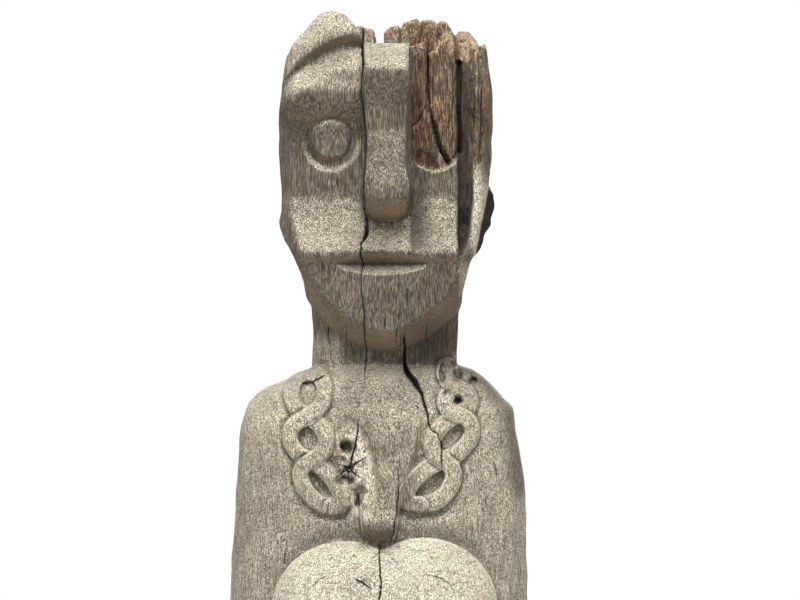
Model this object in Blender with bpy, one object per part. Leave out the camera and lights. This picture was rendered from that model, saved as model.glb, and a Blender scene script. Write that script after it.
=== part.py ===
"""A guardian pole figure: one hardwood log, carved as a standing spirit with a mask-like face, a chain
collar and a low round base, and weathered until half the brow has rotted away. Metres, +Z up, front
towards -Y."""

from types import SimpleNamespace

import bpy
import numpy as np

# Driving dimensions, in metres.
FIGURE_HEIGHT = 1.534
BASE_HEIGHT = 0.110
BASE_DIAMETER = 0.310
SHOULDER_WIDTH = 0.314
TORSO_DEPTH = 0.226
HEAD_WIDTH = 0.227
HEAD_DEPTH = 0.192
NECK_WIDTH = 0.154
MASK_WIDTH = 0.196
MASK_PROUD = 0.018
EYE_DIAMETER = 0.049
NOSE_WIDTH = 0.049
NOSE_PROUD = 0.049
MOUTH_WIDTH = 0.092
LOBE_DIAMETER = 0.152
LOBE_PROUD = 0.044
CHAIN_STRAND = 0.0172
CHAIN_PROUD = 0.0072
ARM_WIDTH = 0.050
KNEE_WIDTH = 0.118

# The carving is drawn on a figure 1534 units high, whose base takes the lowest 110 of them.
DRAWN_HEIGHT = 1534.0
DRAWN_BASE = 110.0
UNIT = (FIGURE_HEIGHT - BASE_HEIGHT) / (DRAWN_HEIGHT - DRAWN_BASE)

# Mesh density, and the most triangles that the finished solid keeps.
COLUMNS_FRONT = 150
COLUMNS_BACK = 66
ROWS_BODY = 150
ROWS_CHEST = 110
ROWS_HEAD = 124
CAP_RINGS = 24
FOOT_RINGS = 4
MOST_TRIANGLES = 9400

WOOD_COLOUR = (0.235, 0.195, 0.145, 1.0)
WOOD_ROUGHNESS = 0.88

# Places on the drawn figure.
CHEST_START = 880.0
HEAD_START = 1180.0
CROWN_START = 1400.0
MASK_CENTRE = 3.0
MASK_TURN = 1344.0
MASK_DROP = 145.0
EYE_LEVEL = 1394.0
EYE_OFFSET = 51.0
MOUTH_LEVEL = 1270.5
HEART_X = 12.0
HEART_Y = 8.0

# The base's outline as (share of its radius, share of its height), from the middle of its underside.
BASE_PROFILE = ((0.25, 0.0), (0.5, 0.0), (0.75, 0.0), (0.97, 0.0), (1.0, 0.04), (1.0, 0.35), (1.0, 0.7),
                (1.0, 0.95), (0.98, 1.0))


def drawing():
    """The driving dimensions as lengths on the drawn figure."""
    return SimpleNamespace(
        shoulder_width=SHOULDER_WIDTH / UNIT, torso_depth=TORSO_DEPTH / UNIT, head_width=HEAD_WIDTH / UNIT,
        head_depth=HEAD_DEPTH / UNIT, neck_width=NECK_WIDTH / UNIT, mask_width=MASK_WIDTH / UNIT,
        mask_proud=MASK_PROUD / UNIT, eye_diameter=EYE_DIAMETER / UNIT, nose_width=NOSE_WIDTH / UNIT,
        nose_proud=NOSE_PROUD / UNIT, mouth_width=MOUTH_WIDTH / UNIT, lobe_diameter=LOBE_DIAMETER / UNIT,
        lobe_proud=LOBE_PROUD / UNIT, chain_strand=CHAIN_STRAND / UNIT, chain_proud=CHAIN_PROUD / UNIT,
        arm_width=ARM_WIDTH / UNIT, knee_width=KNEE_WIDTH / UNIT)


def smooth(low, high, value):
    """0 below low, 1 above high, and 3t^2 - 2t^3 between them."""
    t = np.clip((value - low) / (high - low), 0.0, 1.0)
    return t * t * (3.0 - 2.0 * t)


def curve(points, value):
    """The cubic Hermite curve through (position, height) points whose slopes are the harmonic means of the
    steps beside them, so it never overshoots, read at value."""
    position, height = np.array(points, float).T
    step = np.diff(position)
    slope = np.diff(height) / step
    product, total = slope[:-1] * slope[1:], slope[:-1] + slope[1:]
    inner = np.where(product > 0.0, 2.0 * product / np.where(total == 0.0, 1.0, total), 0.0)
    tangent = np.concatenate(([0.0], inner, [0.0]))
    value = np.clip(value, position[0], position[-1])
    i = np.clip(np.searchsorted(position, value, side="right") - 1, 0, len(step) - 1)
    t = (value - position[i]) / step[i]
    left = height[i] * (1.0 + 2.0 * t) * (1.0 - t) ** 2 + tangent[i] * step[i] * t * (1.0 - t) ** 2
    return left + height[i + 1] * t * t * (3.0 - 2.0 * t) - tangent[i + 1] * step[i] * t * t * (1.0 - t)


def line_distance(x, z, points):
    """The distance to a chain of straight strokes: to each stroke's nearest point, the least of them all."""
    nearest = np.full(np.broadcast(x, z).shape, 1e9)
    for (x0, z0), (x1, z1) in zip(points[:-1], points[1:]):
        dx, dz = x1 - x0, z1 - z0
        t = np.clip(((x - x0) * dx + (z - z0) * dz) / (dx * dx + dz * dz), 0.0, 1.0)
        nearest = np.minimum(nearest, np.hypot(x - x0 - t * dx, z - z0 - t * dz))
    return nearest


def groove(x, z, points, width, depth):
    """A crack along the strokes: full depth in the middle, and a smooth step to nothing at its edges."""
    return depth * (1.0 - smooth(0.25 * width, 0.75 * width, line_distance(x, z, points)))


def cleft(x, z, points, depth):
    """A crack through (x, z, width) points: a smooth step to nothing at its edges, and shallower than its
    depth where it is narrower than 4."""
    deepest = np.zeros(np.broadcast(x, z).shape)
    for (x0, z0, wide0), (x1, z1, wide1) in zip(points[:-1], points[1:]):
        dx, dz = x1 - x0, z1 - z0
        t = np.clip(((x - x0) * dx + (z - z0) * dz) / (dx * dx + dz * dz), 0.0, 1.0)
        width = wide0 + (wide1 - wide0) * t
        away = np.hypot(x - x0 - t * dx, z - z0 - t * dz) / width
        deepest = np.maximum(deepest, depth * np.minimum(width / 4.0, 1.0) * (1.0 - smooth(0.15, 0.75, away)))
    return deepest


def reach(cosine, sine, centre_x, centre_y, radius_x, radius_y):
    """How far a ray from the log's axis goes before it leaves an ellipse, the larger root of a quadratic,
    and 0 where it misses."""
    a = (cosine / radius_x) ** 2 + (sine / radius_y) ** 2
    b = cosine * centre_x / radius_x**2 + sine * centre_y / radius_y**2
    c = (centre_x / radius_x) ** 2 + (centre_y / radius_y) ** 2 - 1.0
    inside = b * b - a * c
    return np.where(inside > 0.0, (b + np.sqrt(np.maximum(inside, 0.0))) / a, 0.0)


def half_width(d, z, side):
    """The outline's half-width at a height, on the left (-1) or the right (+1): shares of the torso's, the
    neck's and the head's, joined by a smooth curve."""
    torso, neck, head = d.shoulder_width / 2.0, d.neck_width / 2.0, d.head_width / 2.0
    body = [(110, 0.30), (520, 0.34), (560, 0.62), (600, 0.93), (660, 0.99), (740, 1.01)]
    left = [(915, 1.03), (1000, 1.0), (1053, 0.98), (1096, 0.96), (1122, 0.914), (1139, 0.805), (1149, 0.665),
            (1155, 0.60)]
    right = [(915, 0.975), (1021, 0.962), (1069, 0.927), (1096, 0.893), (1119, 0.873), (1129, 0.81),
             (1146, 0.72), (1160, 0.61)]
    left_neck, right_neck = [(1163, 0.97), (1202, 0.967), (1223, 0.98)], [(1166, 1.02), (1202, 1.033)]
    left_head = [(1250, 0.69), (1274, 0.765), (1295, 0.85), (1324, 0.905), (1351, 0.918), (1393, 0.936),
                 (1436, 0.910), (1460, 0.89), (1474, 0.868), (1489, 0.84), (1510, 0.822), (1534, 0.80)]
    right_head = [(1234, 0.715), (1262, 0.755), (1290, 0.83), (1330, 0.945), (1356, 0.968), (1383, 0.99),
                  (1425, 1.0), (1462, 0.985), (1500, 0.92), (1534, 0.86)]
    parts = ((left, left_neck, left_head), (right, right_neck, right_head))[side > 0]
    points = [(level, share * torso) for level, share in body + parts[0]]
    points += [(level, share * neck) for level, share in parts[1]]
    points += [(level, share * head) for level, share in parts[2]]
    return curve(points, z)


def half_depth(d, z, back):
    """How far the log goes forwards or backwards at a height, before the carving on it."""
    torso, head = d.torso_depth / 2.0, d.head_depth / 2.0
    if back:
        body = [(110, 0.25), (520, 0.30), (560, 0.70), (610, 1.06), (680, 1.0), (760, 0.90), (900, 0.97),
                (1040, 1.02), (1100, 0.97), (1140, 0.80), (1162, 0.64), (1200, 0.62)]
        top = [(1250, 0.86), (1310, 1.08), (1400, 1.16), (1480, 1.12), (1534, 0.98)]
    else:
        body = [(110, 0.20), (520, 0.30), (560, 0.70), (610, 0.98), (700, 1.04), (800, 1.0), (915, 0.975),
                (1000, 0.95), (1053, 0.915), (1096, 0.86), (1130, 0.77), (1155, 0.66), (1166, 0.53),
                (1200, 0.51)]
        top = [(1230, 0.70), (1260, 0.80), (1290, 0.87), (1340, 0.90), (1480, 0.90), (1512, 0.77),
               (1534, 0.66)]
    points = [(level, share * torso) for level, share in body]
    return curve(points + [(level, share * head) for level, share in top], z)


def arms(d, arc, z):
    """Two arms in low relief: a raised band along strokes down the side and across the belly, a rounded
    hand with cosine furrows between its fingers, and a groove inside the upper arm. Arc is measured from
    the front."""
    width = d.arm_width / 2.0
    arc = np.abs(arc)
    limb = line_distance(arc, z, [(205, 960), (206, 770), (196, 742), (120, 716), (84, 712)])
    hand = np.hypot((arc - 62.0) / 1.25, z - 712.0)
    round_edge = smooth(0.0, 1.0, (width - np.minimum(limb, hand)) / 9.0 + 0.5)
    raised = 13.0 * round_edge * (1.0 - smooth(850.0, 925.0, z))
    fingers = 4.0 * smooth(0.72, 0.95, np.abs(np.cos((z - 712.0) * np.pi / 11.0)))
    on_hand = (hand < width) & (arc < 66.0)
    inner = groove(arc, z, [(176, 905), (177, 790), (166, 768)], 12.0, 7.0)
    return raised - np.where(on_hand, fingers, 0.0) - inner


def waist(arc, z):
    """A plain band round the waist."""
    return 5.0 * smooth(0.0, 4.0, 13.0 - np.abs(z - 603.0)) * np.ones_like(arc)


def ears(cosine, sine, z):
    """The stumps of the ears on the sides of the head: a charred flap on the right and a nub on the left,
    each a rounded bump over the height and over the angle."""
    right = curve([(1274, 0), (1284, 5), (1292, 7), (1300, 6), (1310, 9), (1318, 7), (1330, 8), (1341, 5),
                   (1347, 2), (1353, 0)], z)
    left = curve([(1286, 0), (1296, 3), (1312, 4), (1322, 1), (1326, 0)], z)
    beside = smooth(0.80, 0.93, np.abs(cosine)) * smooth(0.55, 0.30, sine)
    return np.where(cosine > 0.0, right, left) * beside


def log_radius(d, cosine, sine, z):
    """The log's outline round its axis: the greatest reach of a superellipse, two ellipses for the bent
    legs, two for the feet and one for the apron."""
    width = np.where(cosine < 0.0, half_width(d, z, -1), half_width(d, z, 1))
    depth = np.where(sine < 0.0, half_depth(d, z, False), half_depth(d, z, True))
    squareness = curve([(110, 2.0), (600, 2.3), (900, 2.3), (1166, 2.15), (1220, 2.2), (1290, 2.9),
                        (1534, 3.0)], z)
    power = np.where(sine < 0.0, squareness, np.minimum(squareness, 2.4))
    radius = (np.abs(cosine / width) ** power + np.abs(sine / depth) ** power) ** (-1.0 / power)
    radius = radius + ears(cosine, sine, z)
    spread = curve([(110, 62), (280, 66), (400, 68), (560, 68), (640, 50)], z)
    thick = curve([(110, 0.80), (165, 0.78), (290, 0.93), (345, 0.90), (400, 1.0), (470, 1.06), (560, 1.30),
                   (640, 0.9)], z) * d.knee_width / 2.0
    forward = curve([(110, 6), (170, 4), (290, 16), (345, 0), (400, -34), (470, -22), (560, -4), (640, 0)], z)
    foot = smooth(196.0, 120.0, z)
    for side in (-1.0, 1.0):
        leg = reach(cosine, sine, side * spread, forward, thick, thick * 1.08)
        sole = reach(cosine, sine, side * 60.0, -12.0 - 30.0 * foot, 16.0 + 28.0 * foot, 14.0 + 66.0 * foot)
        radius = np.maximum(radius, np.where(z < 640.0, leg, 0.0))
        radius = np.maximum(radius, np.where(z < 200.0, sole, 0.0))
    apron_width = 62.0 - 10.0 * smooth(430.0, 604.0, z)
    apron = reach(cosine, sine, 0.0, -72.0 - 8.0 * smooth(430.0, 560.0, z), apron_width, 31.0)
    return np.maximum(radius, np.where((z > 428.0) & (z < 604.0), apron, 0.0))


def mask_edge(d, x, z):
    """How far a point lies inside the mask's outline: straight sides, and a superellipse for the jaw."""
    half, roundness = d.mask_width / 2.0, 1.87
    across, down = np.abs(x - MASK_CENTRE), np.maximum(MASK_TURN - z, 0.0)
    share = ((across / half) ** roundness + (down / MASK_DROP) ** roundness) ** (1.0 / roundness)
    return np.where(down > 0.0, np.hypot(across, down) * (1.0 / np.maximum(share, 1e-3) - 1.0), half - across)


def brow_line(x):
    """The height of the brow's lower lip: highest beside the nose, and falling to the temple as a
    parabola."""
    return 1501.0 - 42.0 * (np.clip(-27.0 - x, 0.0, 74.0) / 70.0) ** 2


def mask_depth(d, x, z):
    """How far the mask's face lies in front of the log's axis: a profile over the height, a step back
    under the brow, a forehead that leans back, and a bevel outside the outline."""
    front = d.head_depth / 2.0 + d.mask_proud - 18.0
    brow = brow_line(x)
    under = 3.0 + 7.0 * smooth(-97.0, -60.0, x)
    socket = curve([(1199, 8), (1232, 12), (1255, 14), (1271, 17), (1278, 21), (1300, 9), (1326, -4),
                    (1340, -9), (1370, -11), (1395, -9), (1410, -5), (1428, 3), (1442, 6), (1458, 3),
                    (1534, 0)], z)
    socket = socket - 13.0 * smooth(brow - under - 32.0, brow - under + 3.0, z)
    rise = np.clip((z - brow) / 36.0, 0.0, 1.7)
    forehead = 1.0 - 7.0 * rise - 18.0 * rise**2 - 5.0 * smooth(-60.0, -97.0, x)
    step = smooth(brow - under, brow, z)
    plane = front + np.where(x < 0.0, socket + (forehead - socket) * step, socket)
    edge = mask_edge(d, x, z)
    bevel = 4.0 * smooth(5.0, 0.0, edge) + 2.0 * np.maximum(-edge, 0.0) + 9.0 * np.maximum(-edge - 15.0, 0.0)
    return plane - bevel


def eye(d, x, z):
    """A flat-topped disc with a wide bevel, in a round hollow that is cut deeper towards its lower edge,
    where its wall leans out as a ledge."""
    radius = d.eye_diameter / 2.0
    away = np.hypot(x + EYE_OFFSET, z - EYE_LEVEL)
    low = smooth(16.0, -22.0, z - EYE_LEVEL)
    floor = 3.0 + 8.0 * low
    inside = 1.0 - smooth(radius, radius + 2.0 + 4.5 * low, away)
    disc = (floor + 3.0) * (1.0 - smooth(0.64 * radius, 0.98 * radius, away))
    return disc - floor * inside


def nose(d, x, z):
    """A long block: a ridge profile over the height with a bulge at the brow, a hollow bridge and a blunt
    tip, times a flat section with steep sides."""
    half = d.nose_width / 2.0 * curve([(1312, 0.40), (1317, 0.66), (1324, 0.88), (1334, 0.98), (1346, 1.0),
                                       (1384, 0.87), (1414, 0.92), (1442, 1.0), (1489, 1.0)], z)
    ridge = curve([(1309, -0.05), (1315, 0.34), (1321, 0.70), (1328, 0.90), (1338, 0.98), (1348, 0.98),
                   (1362, 0.88), (1379, 0.76), (1393, 0.68), (1405, 0.63), (1420, 0.64), (1440, 0.75),
                   (1458, 0.82), (1478, 0.54), (1492, 0.22)], z)
    across = np.clip(np.abs(x - 4.5) / half, 0.0, 1.4)
    tip = smooth(1345.0, 1318.0, z)
    sides = (3.0 + 9.0 * tip) * across**4 + 60.0 * smooth(0.90, 1.14, across)
    return d.head_depth / 2.0 - 5.0 + d.nose_proud * ridge - sides


def mouth(d, x, z):
    """A long lens cut as a notch: the upper lip faces down and the lower lip faces up."""
    half = d.mouth_width / 2.0
    taper = np.sqrt(np.clip(1.0 - (x / half) ** 2, 0.0, 1.0))
    above = np.clip(1.0 - (z - MOUTH_LEVEL) / (10.5 * taper + 1e-6), 0.0, 1.0)
    below = np.clip(1.0 - (MOUTH_LEVEL - z) / (11.5 * taper + 1e-6), 0.0, 1.0)
    return -16.0 * taper * np.where(z > MOUTH_LEVEL, above, below)


def rot_edge(x, z):
    """1 in the rotted eye and brow on the right, 0 on sound wood. Its lower edge is the old eye hollow's
    rim."""
    rim = EYE_LEVEL - np.sqrt(np.clip(29.0**2 - (x - EYE_OFFSET - 1.0) ** 2, 0.0, None)) + 1.5
    return smooth(27.0, 30.0, x) * smooth(rim - 3.0, rim + 1.0, z) * smooth(81.0, 78.0, x)


# The gaps between the rotted slabs, as (x, z, width) points.
SLAB_GAPS = [[(46, 1492, 3.0), (46.5, 1474, 5.5), (47, 1440, 5.0), (49, 1424, 4.0), (54, 1404, 5.0),
              (60, 1384, 6.0), (66, 1374, 4.0)],
             [(29, 1409, 2.5), (36, 1414, 3.0), (44, 1430, 2.5)]]


def rot_depth(x, z):
    """The slabs that are left in the rotted hollow, with dark gaps between them."""
    slab = np.where(x < 44.0, 84.0 - 0.3 * (x - 29.0), 82.0 - 0.035 * (x - 52.0) ** 2)
    wedge = smooth(0.0, 2.0, 44.0 + 0.22 * (1419.0 - z) - x) * smooth(1424.0, 1418.0, z)
    slab = slab + (75.0 - slab) * wedge * smooth(27.0, 34.0, x)
    slab = slab - 10.0 * smooth(1400.0, 1370.0, z)
    return slab - np.maximum(cleft(x, z, SLAB_GAPS[0], 20.0), cleft(x, z, SLAB_GAPS[1], 12.0))


def jaw_ridge(d, x, z):
    """1 on the mask's own rim below the right ear, which the rot has left standing."""
    return smooth(11.0, 8.0, mask_edge(d, x, z)) * smooth(1378.0, 1338.0, z)


def side_gap(d, x, z):
    """How far the right temple has rotted back beside the cheek, as deep as 33 next to it and less further
    out. The mask's rim stays as a ridge below the ear."""
    depth = 33.0 - 18.0 * smooth(84.0, 93.0, x)
    edge = 75.5 + 0.004 * (1440.0 - z)
    across = smooth(edge, edge + 2.5, x)
    splits = groove(x, z, [(100, 1482), (101, 1430), (99, 1374)], 2.6, 5.0)
    splits = np.maximum(splits, groove(x, z, [(91, 1534), (90, 1420), (86, 1310)], 3.0, 8.0))
    return (depth + splits) * across * smooth(1262.0, 1276.0, z) * (1.0 - jaw_ridge(d, x, z))


# The chains' crossings as (height, x) from the lowest up, and how far their bands swing between them. The
# right chain is the mirror image of one that is drawn on the left.
LEFT_CROSSINGS = [(1028, -50), (1072, -72), (1116, -76), (1159, -76)]
LEFT_SWING = [16, 19, 19, 16]
RIGHT_CROSSINGS = [(1030, -38), (1073, -61), (1118, -77), (1144, -77), (1164, -70)]
RIGHT_SWING = [21, 21, 16, 11, 8]


def bands(x, z, crossings, swing):
    """The distances to the middle lines of a chain's upper and lower band, how far apart they run, and the
    place of their axis. The lines swing to either side by the sine, to the power 0.65, of the count of
    crossings passed."""
    levels, places = np.array(crossings, float).T
    counts = np.arange(len(crossings))
    steps = np.linspace(0.0, counts[-1], 8 * counts[-1] + 1)
    path_z = curve(list(zip(counts, levels)), steps)
    turn = np.sin(np.pi * steps)
    swung = curve(list(zip(counts, swing)), steps) * np.sign(turn) * np.abs(turn) ** 0.65
    axis = curve(list(zip(counts, places)), steps)
    first = line_distance(x, z, list(zip(axis + swung, path_z)))
    second = line_distance(x, z, list(zip(axis - swung, path_z)))
    first_over = np.cos(np.pi * np.round(np.interp(z, path_z, steps))) > 0.0
    apart, middle = np.abs(np.interp(z, path_z, swung)), np.interp(z, path_z, axis)
    return np.where(first_over, first, second), np.where(first_over, second, first), apart, middle


def chain(d, x, z, crossings, swing):
    """An interlaced chain in relief: flat bands of which the lower one stops beside the upper one, with a V
    cut along them and dished holes between them."""
    half, proud = d.chain_strand / 2.0, d.chain_proud
    top, under, apart, middle = bands(x, z, crossings, swing)
    profile = proud * np.sqrt(np.clip(1.0 - (top / half) ** 7, 0.0, 1.0))
    passing = proud * np.sqrt(np.clip(1.0 - (under / half) ** 7, 0.0, 1.0)) * smooth(half, half + 2.5, top)
    low = smooth(crossings[0][0] + 12.0, crossings[0][0] - 6.0, z)
    trench = 1.0 - smooth(half + 1.0, half + 6.0 + 5.0 * low, np.minimum(top, under))
    dish = smooth(-1.0, 4.0, apart - half - np.abs(x - middle))
    band = np.maximum(profile, passing)
    relief = np.where(band > 0.0, band, np.minimum(-(4.0 + 2.0 * low) * trench, -6.0 * dish))
    return relief * (z > crossings[0][0] - 22.0) * (z < crossings[-1][0] + 14.0)


LOBE_CENTRES = ((-36.0, 918.0), (41.0, 921.0))


def lobes(d, x, z):
    """Two rounded lobes on the chest, each a flattened dome, that meet in a crease."""
    radius = d.lobe_diameter / 2.0
    height = np.zeros(np.broadcast(x, z).shape)
    for centre, level in LOBE_CENTRES:
        share = np.hypot(x - centre, z - level) / radius
        height = np.maximum(height, d.lobe_proud * np.clip(1.0 - share**2, 0.0, 1.0) ** 0.46)
    return height


def pit(x, z, centre_x, centre_z, half_x, half_z, depth):
    """A rounded pit: deepest in the middle of an ellipse, and a smooth step to nothing at its rim."""
    return depth * (1.0 - smooth(0.45, 1.0, np.hypot((x - centre_x) / half_x, (z - centre_z) / half_z)))


def knot_pits(x, z):
    """The knot hole, the scoop below it, the rotted ends of the lowest link, and the holes in the worn top
    links."""
    pits = pit(x, z, -35.5, 1086.5, 9.5, 8.0, 16.0) + pit(x, z, -42.0, 1068.0, 15.0, 13.0, 6.0)
    pits = pits + pit(x, z, -37.0, 1053.0, 12.0, 7.0, 11.0) + pit(x, z, -22.0, 1038.0, 6.0, 16.0, 10.0)
    pits = pits + pit(x, z, 61.0, 1157.0, 4.5, 11.0, 16.0) + pit(x, z, 77.5, 1157.0, 7.5, 10.0, 20.0)
    return pits + pit(x, z, 94.0, 1149.0, 7.0, 5.5, 12.0)


def knot_patch(x, z):
    """1 on the pale, crumbled wood round the knot."""
    lean = (x + 27.0) + 0.16 * (z - 1066.0)
    return 1.0 - smooth(0.78, 1.06, np.hypot(lean / 21.0, (z - 1066.0) / 49.0))


PANEL_HALF = [(984, 3), (989, 11), (998, 16), (1014, 19), (1035, 20), (1070, 34), (1110, 42), (1166, 46)]


def chest(d, x, z):
    """What is carved on the front of the torso: a tapering panel with a rounded tip that is cut back
    underneath, two chains, the lobes, and a crumbled knot."""
    panel_half = curve(PANEL_HALF, z)
    panel_height = curve([(984, 0), (990, 4), (1014, 17), (1024, 15), (1050, 10), (1090, 6), (1160, 3)], z)
    panel = smooth(-2.0, 4.0, panel_half - np.abs(x + 2.5)) * panel_height * (z > 984.0) * (z < 1166.0)
    left = chain(d, x, z, LEFT_CROSSINGS, LEFT_SWING)
    right = chain(d, -x, z, RIGHT_CROSSINGS, RIGHT_SWING)
    links = (left + right) * (1.0 - knot_patch(x, z))
    raised = np.where(panel > 0.5, np.maximum(panel, links), links)
    above_lobes = -5.0 * smooth(1016.0, 985.0, z) * (1.0 - smooth(70.0, 120.0, np.abs(x - 2.0)))
    return raised + above_lobes - 3.0 * knot_patch(x, z) - knot_pits(x, z) + lobes(d, x, z)


def chest_crack(x, z):
    """The long drying crack from the neck down beside the panel."""
    return cleft(x, z, [(23, 1194, 4.0), (22, 1168, 4.2), (26, 1159, 6.4), (33, 1150, 5.8), (39, 1140, 4.2),
                        (42, 1129, 3.8), (46, 1118, 3.4), (49, 1104, 3.0)], 15.0)


def face_crack(x, z):
    """The crack beside the nose, down to the mouth."""
    return cleft(x, z, [(-20, 1534, 3.4), (-20, 1489, 3.8), (-18.5, 1466, 4.4), (-21, 1443, 3.4),
                        (-18.5, 1424, 3.4), (-15.5, 1394, 3.4), (-17.5, 1354, 3.4), (-17, 1322, 3.4),
                        (-15, 1309, 3.6), (-16, 1296, 3.6), (-20, 1290, 2.6), (-21, 1278, 2.6)], 15.0)


def crown_height(x, y):
    """The top of the head: a rounded lobe left of the nose, the nose block's flat top, broken slabs on the
    right, a slot that goes through from front to back, and a rotted hollow in the heart of the log. The
    pieces behind the slabs break off along a line that stands back by a step from one to the next."""
    lobe = [(-116, 1440), (-101, 1475), (-94, 1485), (-85, 1499), (-72, 1517), (-60, 1526), (-47, 1526),
            (-37, 1521)]
    front = lobe + [(-30, 1514), (-23, 1503), (-20, 1490), (29, 1490), (32, 1492), (41, 1496), (44, 1482),
                    (49, 1482), (58, 1493), (66, 1501), (73, 1493), (78, 1480), (82, 1477), (90, 1480),
                    (92, 1490), (98, 1495), (104, 1490), (110, 1473), (117, 1440)]
    rear = lobe + [(-30, 1523), (-25, 1526), (-11, 1522), (-8, 1519), (-6, 1489), (0, 1489), (2, 1518),
                   (7, 1525), (17, 1527), (19, 1514), (21, 1531), (37, 1534), (39, 1526), (41, 1533),
                   (54, 1531), (57, 1523), (59, 1532), (66, 1531), (71, 1524), (77, 1514), (80, 1521),
                   (91, 1520), (95, 1514), (99, 1509), (104, 1497), (110, 1475), (117, 1440)]
    stands_back = [(-8, 50), (18, 50), (20, 38), (38, 38), (40, 47), (56, 47), (58, 41), (75, 41), (84, 21)]
    height = np.interp(x, *np.array(front, float).T)
    behind = np.interp(x, *np.array(rear, float).T) - 9.0 * smooth(0.0, -46.0, y)
    break_line = -np.interp(x, *np.array(stands_back, float).T)
    height = height + (behind - height) * smooth(break_line - 9.0, break_line, y)
    hollow = 1.0 - smooth(0.55, 1.0, np.hypot((x - HEART_X) / 51.0, (y - HEART_Y) / 44.0))
    return height - 40.0 * hollow


def front_depth(d, x, z, plain, facing):
    """How far the carved front lies before the axis, without its cracks: the plain log or the mask,
    whichever is further forward, cut back where the wood has rotted, plus what stands on the chest."""
    face = mask_depth(d, x, z) + np.where(x < -20.0, eye(d, x, z), 0.0) + mouth(d, x, z)
    face = np.maximum(face, np.where((z > 1306.0) & (z < 1494.0), nose(d, x, z), -99.0))
    rotted = rot_edge(x, z)
    face = face + (rot_depth(x, z) - face) * rotted
    top_slope = smooth(1478.0, 1534.0, z) * smooth(84.0, 78.0, x) * smooth(25.0, 30.0, x)
    face = face - 6.0 * top_slope - side_gap(d, x, z)
    on_head = z > 1175.0
    beside_rot = rotted + smooth(70.0, 76.0, x) > 0.5
    log = np.where(on_head & beside_rot, np.minimum(plain, face + 14.0), plain)
    depth = np.where(on_head, np.maximum(log, face), plain)
    return depth + np.where(z < 1200.0, chest(d, x, z), 0.0) * smooth(0.1, 0.4, facing)


def carve(d, x, y, z, facing):
    """Moves the plain log's front to the carved depth, and cuts the cracks into it."""
    depth = front_depth(d, x, z, -y, facing)
    crack = np.where(z > 1130.0, face_crack(x, z), 0.0)
    crack = np.maximum(crack, np.where(z < 1210.0, chest_crack(x, z), 0.0))
    return np.where(facing > 0.0, -np.maximum(depth - crack, -y * 0.35), y)


def wall_points(d, angles, rows):
    """The carved wall as grids of x, y and z over the angle round the axis and the row, from the base's
    top upwards. Rows on the head are shares of the way up to the crown, whose height at the log's outline
    is found by halving steps, since the outline narrows upwards."""
    cosine, sine = np.cos(angles)[None, :], np.sin(angles)[None, :]
    z = np.broadcast_to(rows[:, None], (len(rows), len(angles))).copy()
    top = np.full(len(angles), DRAWN_HEIGHT)
    for _ in range(6):
        edge = log_radius(d, cosine, sine, top[None, :])[0]
        top = 0.5 * (top + crown_height(edge * cosine[0], edge * sine[0]))
    share = (z - CROWN_START) / (DRAWN_HEIGHT - CROWN_START)
    z = np.where(share > 0.0, CROWN_START + share * (top[None, :] - CROWN_START), z)
    radius = log_radius(d, cosine, sine, z)
    from_front = (np.mod(angles + np.pi * 1.5, 2.0 * np.pi) - np.pi) * 150.0
    radius = radius + arms(d, from_front[None, :], z) + waist(from_front[None, :], z)
    x, y = radius * cosine, radius * sine
    facing = np.broadcast_to(-sine, x.shape)
    return x, carve(d, x, y, z, facing), z


def body_grid(d):
    """Every vertex of the closed figure on a grid of rings and columns, from the middle of its underside
    to the middle of its crown, and the two middle points."""
    front = np.pi + np.pi * np.arange(COLUMNS_FRONT) / COLUMNS_FRONT
    back = 2.0 * np.pi + np.pi * np.arange(COLUMNS_BACK) / COLUMNS_BACK
    angles = np.concatenate((front, back))
    cosine, sine = np.cos(angles), np.sin(angles)
    rows = np.concatenate((np.linspace(DRAWN_BASE, CHEST_START, ROWS_BODY, endpoint=False),
                           np.linspace(CHEST_START, HEAD_START, ROWS_CHEST, endpoint=False),
                           np.linspace(HEAD_START, DRAWN_HEIGHT, ROWS_HEAD)))
    x, y, z = wall_points(d, angles, rows)
    wall = np.stack((x * UNIT, y * UNIT, BASE_HEIGHT + (z - DRAWN_BASE) * UNIT), axis=-1)
    rings = []
    for share, level in BASE_PROFILE:
        radius = BASE_DIAMETER / 2.0 * share
        rings.append(np.stack((radius * cosine, radius * sine, np.full(len(angles), level * BASE_HEIGHT)),
                              axis=-1))
    base_top = rings[-1]
    for share in np.linspace(0.0, 1.0, FOOT_RINGS + 2)[1:-1]:
        rings.append(base_top + (wall[0] - base_top) * share)
    middle = np.array([HEART_X * UNIT, HEART_Y * UNIT, 0.0])
    cap = []
    for share in np.linspace(0.0, 1.0, CAP_RINGS, endpoint=False)[1:]:
        ring = wall[-1] + (middle - wall[-1]) * share
        ring[:, 2] = BASE_HEIGHT + (crown_height(ring[:, 0] / UNIT, ring[:, 1] / UNIT) - DRAWN_BASE) * UNIT
        cap.append(ring)
    middle[2] = BASE_HEIGHT + (crown_height(HEART_X, HEART_Y) - DRAWN_BASE) * UNIT
    return np.concatenate((np.stack(rings), wall, np.stack(cap))), np.array([[0.0, 0.0, 0.0], middle])


def closed_mesh(name, grid, poles):
    """A mesh of quads between neighbouring rings and columns, closed by a fan of triangles at each pole."""
    rings, columns, _ = grid.shape
    index = np.arange(rings * columns).reshape(rings, columns)
    after = np.roll(index, -1, axis=1)
    quads = np.stack((index[:-1], after[:-1], after[1:], index[1:]), axis=-1).reshape(-1, 4)
    bottom, top = rings * columns, rings * columns + 1
    under = np.stack((after[0], index[0], np.full(columns, bottom)), axis=-1)
    over = np.stack((index[-1], after[-1], np.full(columns, top)), axis=-1)
    mesh = bpy.data.meshes.new(name)
    mesh.from_pydata(np.concatenate((grid.reshape(-1, 3), poles)).tolist(), [],
                     quads.tolist() + under.tolist() + over.tolist())
    mesh.validate()
    return mesh


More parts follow.
